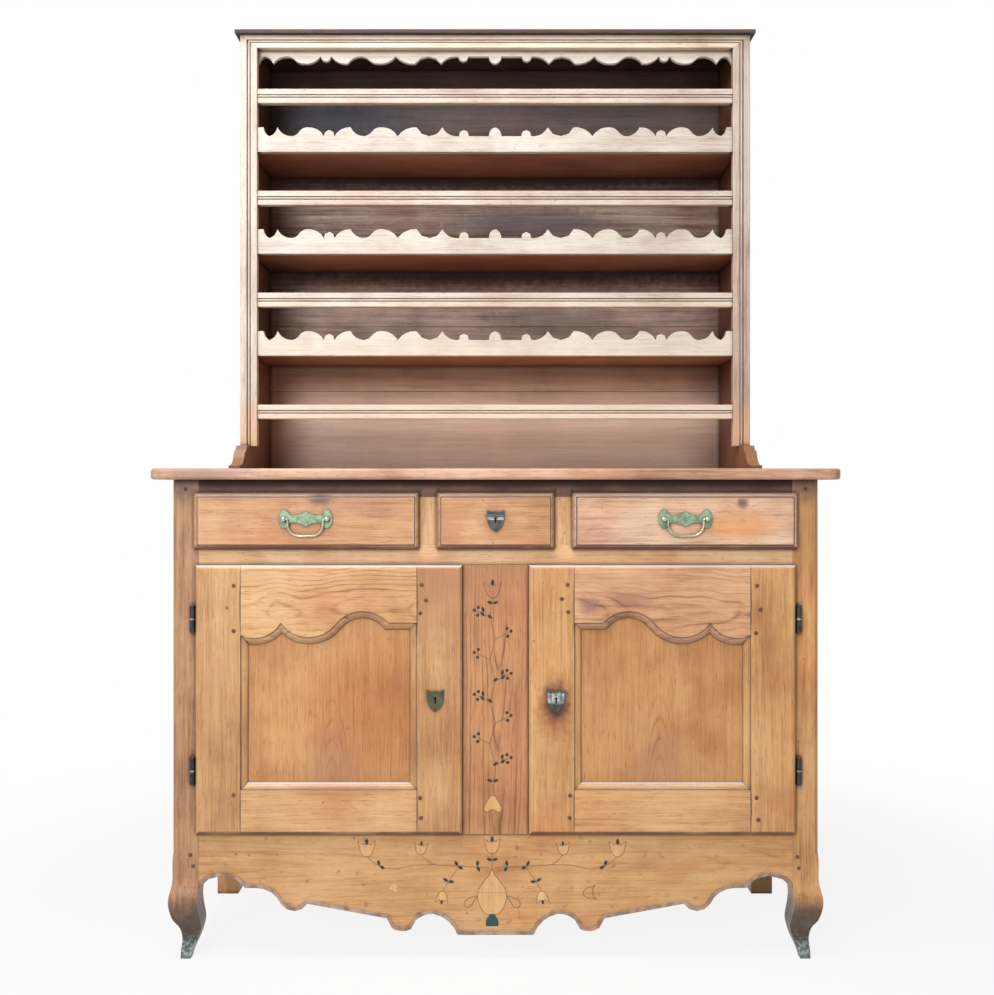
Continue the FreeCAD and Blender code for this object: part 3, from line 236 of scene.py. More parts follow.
# Year lines with the pith's place measured from a board's middle, and those of the door panels
post_lines = (0.05, 0.1)
rail_pith_depth = -0.1
hinge_stile_lines = (0.10, -0.14)
lock_stile_lines = (0.08, -0.15)
head_rail_lines = (-0.012, -0.200)
head_rail_lean = 0.05
head_rail_spacing = 0.0075
foot_rail_lines = (0.05, -0.15)
panel_middle = 0.338
panel_lean = 0.15
panel_pith_foot = 0.30
panel_lines_reach = 0.05

# Wood tones, as levels from 0 to 255: dark line, body and highlight
cherry = ((152, 98, 52), (208, 156, 100), (232, 190, 134))
rail_cherry = ((146, 100, 64), (214, 166, 114), (236, 200, 152))
plum_cherry = ((136, 90, 66), (206, 154, 114), (230, 190, 150))
middle_cherry = ((168, 118, 80), (232, 190, 142), (246, 214, 174))
# dim_cherry is darker to paint the weaker light on the left front post
dim_cherry = ((112, 72, 46), (176, 132, 94), (212, 170, 126))
brown_cherry = ((138, 90, 50), (198, 148, 98), (226, 182, 128))
shaded_cherry = ((74, 50, 46), (128, 95, 89), (158, 126, 118))
panel_cherry = ((134, 84, 44), (187, 130, 76), (212, 160, 104))
drawer_cherry = ((140, 88, 58), (206, 154, 108), (230, 188, 144))
# pink_cherry is paler and pinker to paint a sheen on the right drawer front
pink_cherry = ((154, 106, 84), (226, 188, 158), (246, 220, 194))
red_cherry = ((128, 78, 48), (194, 137, 90), (216, 164, 114))
apron_cherry = ((164, 112, 64), (208, 160, 106), (226, 184, 132))
top_cherry = ((128, 88, 66), (200, 154, 120), (236, 200, 170))
# The pale tones of the hutch front (left and right stiles, plate bars, frieze, galleries, valance) paint the
# strong light on it; the valance's is lighter still to offset its shadow under the frieze
pale_cherry = ((150, 118, 96), (208, 190, 174), (232, 219, 206))
# cap_cherry is dark to paint the shadow line along the cap
cap_cherry = ((36, 27, 22), (68, 52, 43), (100, 80, 66))
valance_cherry = ((190, 158, 134), (246, 230, 214), (254, 244, 234))
rack_wood = ((92, 72, 62), (180, 154, 140), (216, 194, 178))
shelf_wood = ((90, 54, 38), (164, 106, 78), (196, 144, 112))
inner_wood = ((128, 92, 60), (186, 146, 104), (212, 176, 134))
frieze_cherry = ((172, 140, 114), (236, 216, 190), (250, 236, 218))
gallery_cherry = ((154, 128, 108), (206, 196, 184), (232, 224, 214))
dusty_cherry = ((140, 110, 90), (190, 171, 156), (216, 200, 186))
maple = ((188, 134, 80), (221, 175, 118), (234, 196, 144))
rose_wood = ((160, 100, 74), (192, 130, 100), (208, 152, 120))
line_stain = ((92, 60, 42), (132, 90, 62), (158, 114, 82))
stem_stain = ((118, 78, 54), (166, 116, 82), (188, 138, 102))
green_stain = ((16, 24, 20), (26, 40, 32), (40, 60, 48))
teal_stain = ((8, 48, 50), (15, 68, 70), (30, 92, 92))
berry_stain = ((32, 14, 12), (52, 24, 18), (78, 40, 30))
ebony = ((44, 26, 16), (96, 58, 36), (126, 82, 54))
soot = ((22, 14, 12), (40, 26, 22), (60, 42, 36))
# The groove and bead tones colour a dark line of painted shade and a pale line of painted highlight round the
# drawer flats
groove_shade_wood = ((52, 30, 26), (84, 52, 44), (116, 78, 66))
edge_highlight_wood = ((192, 156, 130), (232, 202, 176), (246, 226, 206))

# Metal tones: body, tarnish and bare metal
verdigris = ((158, 180, 148), (108, 136, 106), (224, 228, 204))
bail_brass = ((200, 202, 168), (156, 156, 120), (244, 244, 224))
old_brass = ((92, 92, 66), (68, 72, 54), (140, 134, 98))
old_steel = ((84, 86, 84), (56, 56, 54), (206, 214, 212))
hinge_iron = ((72, 66, 64), (48, 42, 40), (224, 222, 220))
lock_iron = ((74, 66, 60), (96, 60, 40), (140, 132, 124))
nail_iron = ((84, 84, 66), (60, 58, 46), (150, 146, 120))
knob_brass = ((196, 204, 184), (150, 166, 144), (250, 250, 240))

# Floor tones, and the colours of dirt and painted shade, wear, and dust and painted sheen
floor_tones = ((226, 226, 226), (232, 232, 232))
grime_and_shade = (86, 48, 34)
crevice = (44, 24, 20)
worn = (236, 206, 174)
bloom_and_sheen = (226, 208, 204)
rim_grey = (112, 98, 94)
rim_pink = (190, 164, 150)
knot_brown = (84, 56, 56)
black_grease = (30, 24, 20)
amber = (250, 206, 158)
plum = (224, 200, 198)

# Stains, painted shade and painted light by height: nothing at the first height, full at the second, tint,
# strength, grain and ragged edge
shin = (0.165, 0.080, (84, 66, 54), 0.95)
scuffs = (0.130, 0.010, (36, 28, 24), 0.7, 75.0, 2.0)
toe = (0.060, 0.010, (60, 76, 76), 0.8)
lime = (0.050, -0.030, (190, 208, 204), 0.85, 190.0, 2.0)
rail_shadow = (0.968, 0.986, (40, 22, 17), 0.95)
centre_stile_crown = (0.66, 0.80, (164, 104, 76), 0.55)
lock_stile_crown = (0.62, 0.78, (174, 116, 84), 0.6)
# Painted shade: warmer and darker towards the foot of the hutch stiles
hutch_stile_foot_shade = (1.20, 1.04, (222, 172, 124), 0.8)
bracket_amber = (1.13, 1.05, (138, 92, 50), 0.8)
# Painted light: lighter and warmer towards the bottom of the pale hutch front
hutch_lower_light = (1.62, 1.12, (240, 222, 200), 0.5)
# Painted light on the lowest rows of the hutch's back, and painted shade that darkens its upper rows
back_lower_light = (1.52, 1.16, (255, 226, 206), 0.6)
back_upper_shade = (1.66, 1.90, (92, 86, 90), 0.7)

# Stains and painted shadows of pieces that set the centre: half sizes, tint and strength, and the places that
# aren't an edge
# Painted shadow of the top on the front posts
post_top_shadow = ((0.06, 0.06, 0.06), (92, 70, 64), 0.75)
top_stain = ((0.15, 0.09, 0.08), (156, 116, 104), 0.65)
top_stain_inset = 0.12
stile_edge = ((0.022, 0.03, 0.36), (146, 84, 60), 0.6)
stile_edge_height = 0.62
panel_haze = ((0.080, 0.05, 0.15), (176, 124, 96), 0.55)
panel_haze_height = 0.37
shelf_shadow = ((0.9, back_patch_depth, 0.055), (34, 25, 22), 0.85)

# Stains round a point, and painted shade on the hutch's back: centre, half sizes, tint and strength
burn_marks = (
    ((0.124, door_face, 0.524), (0.054, 0.06, 0.095), (158, 88, 46), 0.75),
    ((0.124, door_face, 0.535), (0.038, 0.05, 0.054), (48, 26, 20), 0.97),
)
head_rail_marks = (
    ((0.195, door_face, 0.736), (0.034, 0.03, 0.026), (132, 88, 82), 0.6),
    ((0.290, door_face, 0.748), (0.060, 0.03, 0.022), (150, 104, 90), 0.5),
)
left_drawer_marks = (
    ((-0.359, door_face, 0.955), (0.040, 0.03, 0.020), (84, 58, 64), 0.85),
    ((-0.30, door_face, 0.945), (0.11, 0.05, 0.03), (176, 118, 100), 0.4),
)
centre_drawer_marks = (((0.0, door_face, 0.905), (0.045, 0.05, 0.045), (150, 96, 78), 0.45),)
right_drawer_marks = (((0.50, door_face, 0.90), (0.12, 0.05, 0.04), (226, 150, 84), 0.6),)
# The two patches high on the back are painted shade over the top row; the two lower ones are stains
back_stains_and_shade = (
    ((-0.41, back_face, 1.87), (0.28, back_patch_depth, 0.06), (44, 54, 80), 0.8),
    ((0.30, back_face, 1.87), (0.5, back_patch_depth, 0.07), (96, 84, 76), 0.5),
    ((0.08, back_face, 1.62), (0.26, back_patch_depth, 0.06), (104, 98, 110), 0.7),
    ((0.15, back_face, 1.375), (0.24, back_patch_depth, 0.05), (96, 90, 94), 0.5),
)

# Knots: centre and size
hinge_stile_knots = (((-0.552, door_face, 0.730), 0.006),)
left_drawer_knots = (((-0.359, door_face, 0.958), 0.016),)
right_drawer_knots = (((0.507, door_face, 0.946), 0.017),)

# Wear of the doors' outer edges, dark edge lines, painted shade under the lower lips, and dust and painted
# sheen on upward faces
door_lip = dict(lip=0.95, dust=0.75, line=0.5, wear=0.15)

axis_orders = {"x": ("X", "Z", "Y"), "y": ("Y", "Z", "X"), "z": ("Z", "X", "Y")}


def shade(red, green, blue):
    """Levels of a colour as it looks on screen, 0 to 255, as a shader takes them."""
    linear = []
    for level in (red, green, blue):
        level = level / 255
        linear.append(level / 12.92 if level < 0.04045 else ((level + 0.055) / 1.055) ** 2.4)
    return (*linear, 1.0)


class Tree:
    """The shader of a material or world. Each call adds a node and returns one of its outputs."""

    def __init__(self, owner):
        self.owner = owner
        owner.use_nodes = True
        owner.node_tree.nodes.clear()

    def add(self, kind, inputs, output=0, **settings):
        tree = self.owner.node_tree
        made = tree.nodes.new("ShaderNode" + kind)
        for key, value in settings.items():
            setattr(made, key, value)
        for key, value in inputs.items():
            if isinstance(value, bpy.types.NodeSocket):
                tree.links.new(value, made.inputs[key])
            else:
                made.inputs[key].default_value = value
        return made.outputs[output] if made.outputs else None

    def maths(self, operation, first, second=0.0):
        return self.add("Math", {0: first, 1: second}, operation=operation)

    def vector(self, operation, first, second):
        return self.add("VectorMath", {0: first, 1: second}, operation=operation)

    def noise(self, place, scale, detail=3.0, roughness=0.55):
        inputs = {"Vector": place, "Scale": scale, "Detail": detail, "Roughness": roughness}
        return self.add("TexNoise", inputs)

    def streaks(self, place, along, across, detail=3.0, roughness=0.6):
        """Noise drawn out along the grain."""
        return self.noise(self.vector("MULTIPLY", place, (along, across, across)), 1.0, detail, roughness)

    def length(self, value):
        return self.add("VectorMath", {0: value}, "Value", operation="LENGTH")

    def rounded(self, radius, samples=4):
        """The surface's direction, with its edges rounded."""
        return self.add("Bevel", {"Radius": radius}, samples=samples)

    def edge(self, soft):
        """1 on flats, less where a rounded direction turns away from the true one at an edge."""
        hard = self.add("NewGeometry", {}, "Normal")
        return self.add("VectorMath", {0: soft, 1: hard}, "Value", operation="DOT_PRODUCT")

    def openness(self, reach):
        """1 in the open, less in corners."""
        return self.add("AmbientOcclusion", {"Distance": reach}, "AO", samples=4)

    def span(self, value, low, high, first=0.0, last=1.0):
        """Values from low to high become first to last, with soft ends."""
        inputs = {"Value": value, "From Min": low, "From Max": high, "To Min": first, "To Max": last}
        return self.add("MapRange", inputs, interpolation_type="SMOOTHSTEP")

    def blend(self, factor, first, second, kind="MIX"):
        ends = [shade(*end) if isinstance(end, tuple) else end for end in (first, second)]
        return self.add("Mix", {0: factor, 6: ends[0], 7: ends[1]}, 2, data_type="RGBA", blend_type=kind)

    def tint(self, colour, tint, value, low, high, strength, kind="MIX"):
        """Blend in a tint as a value goes from low to high."""
        return self.blend(self.span(value, low, high, 0.0, strength), colour, tint, kind)

    def ramp(self, value, *stops):
        output = self.add("ValToRGB", {0: value})
        elements = output.node.color_ramp.elements
        while len(elements) < len(stops):
            elements.new(1.0)
        for element, (position, colour) in zip(elements, stops):
            element.position = position
            element.color = shade(*colour)
        return output

    def weighted(self, *terms):
        """Sum of (value, weight, middle): each value, less its middle, times its weight."""
        total = None
        for value, weight, middle in terms:
            part = self.maths("MULTIPLY", self.maths("SUBTRACT", value, middle), weight)
            total = part if total is None else self.maths("ADD", total, part)
        return total

    def finish(self, colour, roughness, normal, metallic=0.0, coat=0.0):
        inputs = {
            "Base Color": colour, "Roughness": roughness, "Normal": normal, "Metallic": metallic,
            "Coat Weight": coat, "Coat Roughness": 0.3,
        }
        self.add("OutputMaterial", {"Surface": self.add("BsdfPrincipled", inputs)})
        return self.owner

    def seen(self):
        """1 for rays that show a surface to the camera, straight, as a reflection or through glass."""
        rays = self.add("LightPath", {}).node.outputs
        direct = self.maths("MAXIMUM", rays["Is Camera Ray"], rays["Is Glossy Ray"])
        return self.maths("MAXIMUM", direct, rays["Is Transmission Ray"])


def patch(tree, place, colour, centre, size, tint, strength):
    """Tint a soft, ragged patch round a point."""
    offset = tree.vector("DIVIDE", tree.vector("SUBTRACT", place, centre), size)
    edge = tree.weighted((tree.noise(place, 70.0, 4.0), 0.6, 0.5))
    return tree.tint(colour, tint, tree.maths("ADD", tree.length(offset), edge), 1.0, 0.25, strength)


def fade(tree, place, colour, low, high, tint, strength, scale=14.0, ragged=1.0):
    """Tint by height: nothing at low, all of it at high, with an edge broken up by noise."""
    height = tree.add("SeparateXYZ", {0: place}, "Z")
    edge = tree.weighted((tree.noise(place, scale, 4.0), abs(high - low) * ragged, 0.5))
    return tree.tint(colour, tint, tree.maths("ADD", height, edge), low, high, strength)


def growth_rings(tree, axes, pith, wander, knots, place):
    """Thin lines at even steps from a leaning pith, fading out at its reach and bent round knots."""
    along, across, depth = axes
    side = tree.weighted((across, 1.0, pith.across), (along, -pith.lean_across, 0.0))
    back = tree.weighted((depth, 1.0, pith.depth), (along, -pith.lean_depth, 0.0))
    from_pith = tree.length(tree.add("CombineXYZ", {0: side, 1: back}))
    near = tree.span(from_pith, pith.reach, pith.reach * 0.3)
    from_pith = tree.maths("ADD", from_pith, wander)
    for centre, size in knots:
        offset = tree.vector("SUBTRACT", place, centre)
        bend = tree.span(tree.length(offset), size * 2.4, 0.0, 0.0, size * 1.6)
        from_pith = tree.maths("ADD", from_pith, bend)
    band = tree.maths("FRACT", tree.maths("DIVIDE", from_pith, pith.spacing))
    slope = tree.maths("ABSOLUTE", tree.weighted((band, 2.0, 0.5)))
    return tree.maths("MULTIPLY", tree.maths("POWER", slope, 4.0), near)


def wood(name, tones, axis, seed, pith=year_lines(*plain_lines), rings=0.16, wave=1.0, ripple=2.2,
         fibre=0.75, streak=0.55, blotch=0.8, hue=0.4, chalk=0.0, gloss=0.46, coat=0.16, knots=(), patches=(),
         fades=(), planks=(), **ageing):
    """Old waxed wood: year lines, fibres, flecks, blotches, knots and stains, then the marks of age with
    painted shade and sheen.
    """
    tree = Tree(bpy.data.materials.new(name))
    place = tree.add("TexCoord", {}, "Object")
    parts = tree.add("SeparateXYZ", {0: place}).node.outputs
    axes = [parts[letter] for letter in axis_orders[axis]]
    grain = tree.add("CombineXYZ", dict(enumerate(axes)))
    grain = tree.vector("ADD", grain, (seed * 1.71, seed * 0.93, seed * 1.37))
    plank = 0.0
    for joint in planks:
        plank = tree.maths("ADD", plank, tree.maths("GREATER_THAN", axes[1], joint))
    if planks:
        step = tree.maths("MULTIPLY", plank, 2.3)
        grain = tree.vector("ADD", grain, tree.add("CombineXYZ", {0: step, 1: step, 2: step}))

    long_waves = tree.streaks(grain, ripple, 7.0, 2.0)
    short_waves = tree.streaks(grain, 10.0, 30.0, 2.0)
    wander = tree.weighted((long_waves, 0.030 * wave, 0.5), (short_waves, 0.005 * wave, 0.5))
    lines = growth_rings(tree, axes, pith, wander, knots, place)
    broken = tree.span(tree.streaks(grain, 3.0, 40.0, 2.0), 0.36, 0.66, 0.2, 1.0)
    lines = tree.maths("MULTIPLY", lines, broken)
    fine = tree.streaks(grain, 9.0, 300.0, 4.0, 0.75)
    broad = tree.streaks(grain, 3.0, 90.0, 4.0, 0.65)
    cloud = tree.noise(grain, 5.0, 4.0)
    mottle = tree.streaks(grain, 13.0, 38.0)
    tone = tree.weighted((lines, -rings, 0.2), (fine, fibre, 0.5), (broad, streak, 0.5),
                         (cloud, blotch, 0.5), (mottle, 0.35, 0.5))
    if planks:
        own = tree.noise(tree.add("CombineXYZ", {0: plank}), 3.7)
        tone = tree.maths("ADD", tone, tree.weighted((own, 0.4, 0.5)))
    dark, body, light = tones
    colour = tree.ramp(tree.maths("ADD", tone, 0.5), (0.08, dark), (0.5, body), (0.92, light))
    colour = tree.tint(colour, amber, tree.noise(grain, 3.4), 0.46, 0.70, hue, "MULTIPLY")
    colour = tree.tint(colour, plum, tree.noise(grain, 7.0), 0.48, 0.74, 0.6, "MULTIPLY")
    flecks = tree.span(tree.streaks(grain, 34.0, 380.0, 2.0), 0.57, 0.72, 0.0, 0.5)
    colour = tree.blend(flecks, colour, dark)
    colour = tree.tint(colour, grime_and_shade, tree.noise(grain, 120.0, 2.0), 0.70, 0.78, 0.6)
    if chalk:
        colour = tree.tint(colour, worn, tree.noise(grain, 85.0), 0.64, 0.74, chalk)
    for centre, size in knots:
        colour = patch(tree, place, colour, centre, (size, size, size), knot_brown, 0.8)
    for low, high, *look in fades:
        colour = fade(tree, place, colour, low, high, *look)
    for centre, size, tint, strength in patches:
        colour = patch(tree, place, colour, centre, size, tint, strength)
    colour, corners, soft = aged(tree, grain, colour, **ageing)

    dents = tree.noise(grain, 38.0)
    relief = tree.weighted((fine, 0.30, 0.0), (lines, -0.2, 0.0), (dents, 0.55, 0.0), (flecks, -0.7, 0.0))
    normal = tree.add("Bump", {"Height": relief, "Strength": 0.4, "Distance": wood_relief, "Normal": soft})
    uneven = tree.weighted((cloud, 0.22, 0.5), (fine, 0.10, 0.5), (corners, 0.25, 0.0))
    return tree.finish(colour, tree.maths("ADD", gloss, uneven), normal, coat=coat)


def aged(tree, grain, colour, wear=0.35, dirt=0.85, corner_size=wood_corner, lip=0.0, dust=0.0, rim=0.0,
         line=0.0, line_size=wood_edge):
    """Edges rubbed pale or lined dark with dirt and painted shade, dirt and painted shade in corners, painted
    shade on lower lips, dust and painted sheen on upward faces, a grey rim below.
    """
    soft = tree.rounded(wood_edge)
    rubbed = tree.span(tree.noise(grain, 26.0, 4.0), 0.36, 0.66)
    edges = tree.maths("MULTIPLY", tree.span(tree.edge(soft), 0.985, 0.80, 0.0, wear), rubbed)
    colour = tree.blend(edges, colour, worn)
    # Dark lines along edges: dirt in grooves and painted shade at outer edges
    if line:
        crossing = tree.edge(tree.rounded(line_size))
        colour = tree.tint(colour, crevice, crossing, 0.997, 0.955, line)
    if rim:
        rounded = tree.rounded(rim, 6)
        under = tree.maths("MULTIPLY", tree.add("SeparateXYZ", {0: rounded}, "Z"), -1.0)
        under = tree.maths("ADD", under, tree.weighted((tree.noise(grain, 60.0, 4.0), 0.25, 0.5)))
        colour = tree.tint(colour, grime_and_shade, under, 0.02, 0.09, 0.8)
        ash = tree.blend(tree.span(tree.noise(grain, 45.0, 4.0), 0.35, 0.65), rim_grey, rim_pink)
        colour = tree.tint(colour, ash, under, 0.10, 0.18, 0.95)
    # Upward faces take dust and painted sheen; downward faces, the lower lips, take painted shade
    if lip or dust:
        upward = tree.add("SeparateXYZ", {0: tree.add("TexCoord", {}, "Normal")}, "Z")
        colour = tree.tint(colour, bloom_and_sheen, upward, 0.2, 0.7, dust)
        below = tree.span(tree.maths("MULTIPLY", upward, -1.0), 0.02, 0.32, 0.0, lip)
        patchy = tree.span(tree.noise(grain, 11.0), 0.30, 0.60, 0.55, 1.0)
        colour = tree.blend(tree.maths("MULTIPLY", below, patchy), colour, grime_and_shade)
    # Darker in wide and close corners: dirt and painted shade
    corners = tree.span(tree.openness(corner_size), 0.92, 0.30, 0.0, dirt * 0.75)
    colour = tree.blend(corners, colour, grime_and_shade)
    colour = tree.tint(colour, crevice, tree.openness(wood_crevice), 0.94, 0.52, dirt)
    return colour, corners, soft


def metal(name, tones, seed, metallic, roughness, bare_edges=0.8, bands=()):
    """Old metal: a blotched body, dirt in the corners, edges rubbed bare, and bare bands at given heights."""
    body, tarnish, bare = tones
    tree = Tree(bpy.data.materials.new(name))
    place = tree.add("TexCoord", {}, "Object")
    moved = tree.vector("ADD", place, (seed * 0.7, seed * 1.3, seed * 0.4))
    cloud = tree.noise(moved, 95.0, 5.0, 0.6)
    grit = tree.noise(moved, 620.0)
    colour = tree.blend(tree.span(cloud, 0.38, 0.66), body, tarnish)
    colour = tree.tint(colour, bare, grit, 0.60, 0.76, 0.5)
    height = tree.add("SeparateXYZ", {0: place}, "Z")
    for middle, half in bands:
        off = tree.maths("ABSOLUTE", tree.maths("SUBTRACT", height, middle))
        rubbed = tree.span(cloud, 0.34, 0.58, 0.9, 0.3)
        band = tree.maths("MULTIPLY", tree.span(off, half * 1.2, half * 0.8), rubbed)
        colour = tree.blend(band, colour, bare)
    soft = tree.rounded(metal_edge)
    colour = tree.tint(colour, bare, tree.edge(soft), 0.98, 0.78, bare_edges)
    colour = tree.tint(colour, black_grease, tree.openness(metal_crevice), 0.85, 0.35, 0.9)
    relief = tree.weighted((cloud, 0.6, 0.0), (grit, 0.4, 0.0))
    normal = tree.add("Bump", {"Height": relief, "Strength": 0.4, "Distance": metal_relief, "Normal": soft})
    rough = tree.maths("ADD", roughness, tree.weighted((cloud, 0.3, 0.5), (grit, 0.15, 0.5)))
    return tree.finish(colour, rough, normal, metallic)


def dress(material, *nodes):
    """Give CAD nodes a material in place of the plain one."""
    for name in nodes:
        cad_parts[name].data.materials[0] = material


def clad(node, *look, **details):
    """Give a CAD node a wood of its own."""
    dress(wood(node, *look, **details), node)


def middle_of(node):
    low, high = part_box(node)
    return (low + high) / 2


def heights_of(node):
    return [corner.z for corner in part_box(node)]


def beside_middle(node, offset, depth):
    """Year lines of an upright board, with the pith to one side of its middle."""
    return year_lines(middle_of(node).x + offset, depth)


def dress_posts():
    """Posts of the buffet: the front ones are stained at the feet and carry a painted shadow under the top.
    """
    for seed, side, tones in ((1.0, "left", dim_cherry), (2.0, "right", cherry)):
        node = "front_post_" + side
        top_shadow = ((middle_of(node).x, rail_face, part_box(node)[1].z), *post_top_shadow)
        clad(node, tones, "z", seed, beside_middle(node, *post_lines), fades=(shin, scuffs, toe, lime),
             patches=(top_shadow,), wear=0.5, streak=0.9, blotch=1.1)
    clad("rear_posts", cherry, "z", 3.0)


def dress_rails():
    """Front rails, drawer dividers and side rails of the buffet."""
    rails = (("upper_front_rail", shaded_cherry, 0.75, 0.0), ("middle_front_rail", middle_cherry, 0.46, 0.05))
    for seed, (node, tones, gloss, coat) in enumerate(rails, 5):
        pith = year_lines(middle_of(node).z, rail_pith_depth)
        clad(node, tones, "x", seed, pith, rings=0.1, gloss=gloss, coat=coat, fades=(rail_shadow,))
    clad("drawer_dividers", rail_cherry, "z", 7.0)
    clad("side_rails", cherry, "y", 10.0)


def dress_boards():
    """Top, apron, centre stile and side panels of the buffet."""
    low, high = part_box("buffet_top")
    stain = ((low.x + top_stain_inset, low.y, high.z), *top_stain)
    clad("buffet_top", top_cherry, "x", 4.0, year_lines(*top_lines), wear=0.9, blotch=1.1, patches=(stain,))
    clad("front_apron", apron_cherry, "x", 8.0, year_lines(*apron_lines), rings=0.22, wave=1.6, fibre=0.6,
         rim=apron_rim)
    low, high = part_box("centre_stile")
    edges = [((x, low.y, stile_edge_height), *stile_edge) for x in (low.x, high.x)]
    clad("centre_stile", red_cherry, "z", 9.0, year_lines(*stile_lines), rings=0.55, streak=0.6,
         patches=edges, fades=(centre_stile_crown,))
    clad("side_panels", panel_cherry, "z", 11.0, year_lines(*side_lines))


def dress_inside():
    """Back, floor, shelf, runners and drawer boxes, in plainer wood."""
    axes = {
        "back_rails": "x", "buffet_back_boards": "z", "cupboard_floor": "x", "cupboard_shelf": "x",
        "cupboard_cleats": "y", "drawer_runners": "y", "left_drawer_box": "y", "centre_drawer_box": "y",
        "right_drawer_box": "y",
    }
    for index, (node, axis) in enumerate(axes.items()):
        clad(node, inner_wood, axis, 20.0 + index, gloss=0.62, coat=0.0)


def dress_drawers():
    """Drawer fronts, with the knots and stains that show on them."""
    looks = (
        ("left_drawer_front", drawer_cherry, left_drawer_knots, left_drawer_marks),
        ("centre_drawer_front", drawer_cherry, (), centre_drawer_marks),
        ("right_drawer_front", pink_cherry, right_drawer_knots, right_drawer_marks),
    )
    for index, (node, tones, knots, marks) in enumerate(looks):
        pith = year_lines(drawer_pith - drawer_pith_step * index, *drawer_lines)
        # Drawer fronts: painted shade on the lower lips, dust and painted sheen on upward faces, dark edge
        # lines
        clad(node, tones, "x", 30.0 + index, pith, wave=1.5, knots=knots, patches=marks, wear=0.2, lip=0.95,
             dust=0.3, line=0.85, line_size=drawer_line)


def door_seams(x, side):
    """Dark, ragged joint lines between a door's stile and its two rails."""
    seams = []
    for rail in ("door_top_rail", "door_bottom_rail"):
        low, high = heights_of(rail + side)
        size = (seam_half, seam_depth, (high - low) * seam_share)
        seams.append(((x, door_face, (low + high) / 2), size, crevice, 0.9))
    return seams


def dress_door_stiles(seed, side, sign):
    """Stiles of a door: joint lines, a knot on the left door, a burn mark on the right one."""
    ends = [corner.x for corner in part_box("door_panel" + side)]
    outer, inner = ends[::-sign]
    left = sign < 0
    tones = brown_cherry if left else cherry
    node = "door_hinge_stile" + side
    offset, depth = hinge_stile_lines
    marks = door_seams(outer + sign * moulding_seam, side)
    clad(node, tones, "z", seed, beside_middle(node, -sign * offset, depth), rings=0.1,
         knots=hinge_stile_knots if left else (), patches=marks, **door_lip)
    node = "door_lock_stile" + side
    offset, depth = lock_stile_lines
    marks = door_seams(inner - sign * moulding_seam, side)
    if not left:
        marks.extend(burn_marks)
    clad(node, tones, "z", seed + 1, beside_middle(node, sign * offset, depth), rings=0.12, patches=marks,
         fades=(lock_stile_crown,) if left else (), **door_lip)


def dress_door_rails(seed, side, sign):
    """Shaped top rail and plain bottom rail of a door."""
    node = "door_top_rail" + side
    offset, depth = head_rail_lines
    pith = year_lines(middle_of(node).z + offset, depth, 0.0, head_rail_lean * sign, head_rail_spacing)
    tones, marks = (rail_cherry, ()) if sign < 0 else (plum_cherry, head_rail_marks)
    soft_lip = dict(door_lip, lip=0.45)
    clad(node, tones, "x", seed + 2, pith, rings=0.42, wave=1.2, ripple=5.0, patches=marks, **soft_lip)
    node = "door_bottom_rail" + side
    offset, depth = foot_rail_lines
    pith = year_lines(middle_of(node).z + offset, depth)
    clad(node, rail_cherry, "x", seed + 3, pith, rings=0.1, **door_lip)


def dress_door_panel(seed, side, sign):
    """Panel of a door, with the arched figure of a board cut along a leaning pith."""
    node = "door_panel" + side
    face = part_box(node)[0].y
    middle = sign * panel_middle
    depth = face - panel_lean * panel_pith_foot
    pith = year_lines(middle, depth, 0.0, panel_lean, year_spacing, panel_lines_reach)
    haze = ((middle, face, panel_haze_height), *panel_haze)
    clad(node, panel_cherry, "z", seed + 4, pith, rings=0.7, wave=0.25, fibre=0.9, blotch=1.1, dirt=1.0,
         patches=(haze,))


def dress_doors():
    """Stiles, rails and panels of both doors."""
    for look in ((40.0, "_left", -1), (50.0, "_right", 1)):
        dress_door_stiles(*look)
        dress_door_rails(*look)
        dress_door_panel(*look)


def back_joints():
    """Heights of the joints between the back boards of the hutch."""
    low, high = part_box("hutch_back_boards")
    return [low.z + share * (high.z - low.z) for share in back_joint_shares]


def dress_hutch_front():
    """Front of the hutch in pale tones that paint the strong light on it, its sides and its cap."""
    for seed, side, tones in ((60.0, "left", pale_cherry), (61.0, "right", dusty_cherry)):
        node = "hutch_stile_" + side
        clad(node, tones, "z", seed, beside_middle(node, *post_lines), hue=0.15, dirt=1.0,
             fades=(hutch_stile_foot_shade,))
        clad("hutch_side_" + side, shelf_wood, "z", seed + 2, dirt=1.0, corner_size=hutch_side_corner,
             fades=(bracket_amber,))
    pith = year_lines(*hutch_lines)
    pale = (("hutch_frieze", frieze_cherry), ("gallery_rails", gallery_cherry), ("plate_bars", pale_cherry))
    for seed, (node, tones) in enumerate(pale, 70):
        clad(node, tones, "x", seed, pith, rings=0.1, hue=0.15, dirt=1.0, fades=(hutch_lower_light,))
    clad("hutch_valance", valance_cherry, "x", 73.0, pith, rings=0.1, hue=0.15, dirt=0.4)
    clad("hutch_cap", cap_cherry, "x", 74.0, pith, gloss=0.7, coat=0.03)


def dress_hutch_inside():
    """Dusty back boards and shelves of the hutch, with painted shade on the upper rows and under the shelves,
    and painted light on the lowest rows.
    """
    low, high = heights_of("plate_shelves")
    upper = high - shelf_thickness
    shadows = [((0.0, back_face, height), *shelf_shadow) for height in (upper, (low + upper) / 2)]
    clad("hutch_back_boards", rack_wood, "x", 80.0, year_lines(*back_lines), fibre=1.2, streak=1.5,
         blotch=1.3, gloss=0.62, coat=0.03, patches=(*back_stains_and_shade, *shadows), planks=back_joints(),
         fades=(back_lower_light, back_upper_shade), dirt=0.95, corner_size=hutch_corner, chalk=0.5)
    clad("plate_shelves", shelf_wood, "x", 82.0, gloss=0.6, coat=0.03, corner_size=hutch_corner)


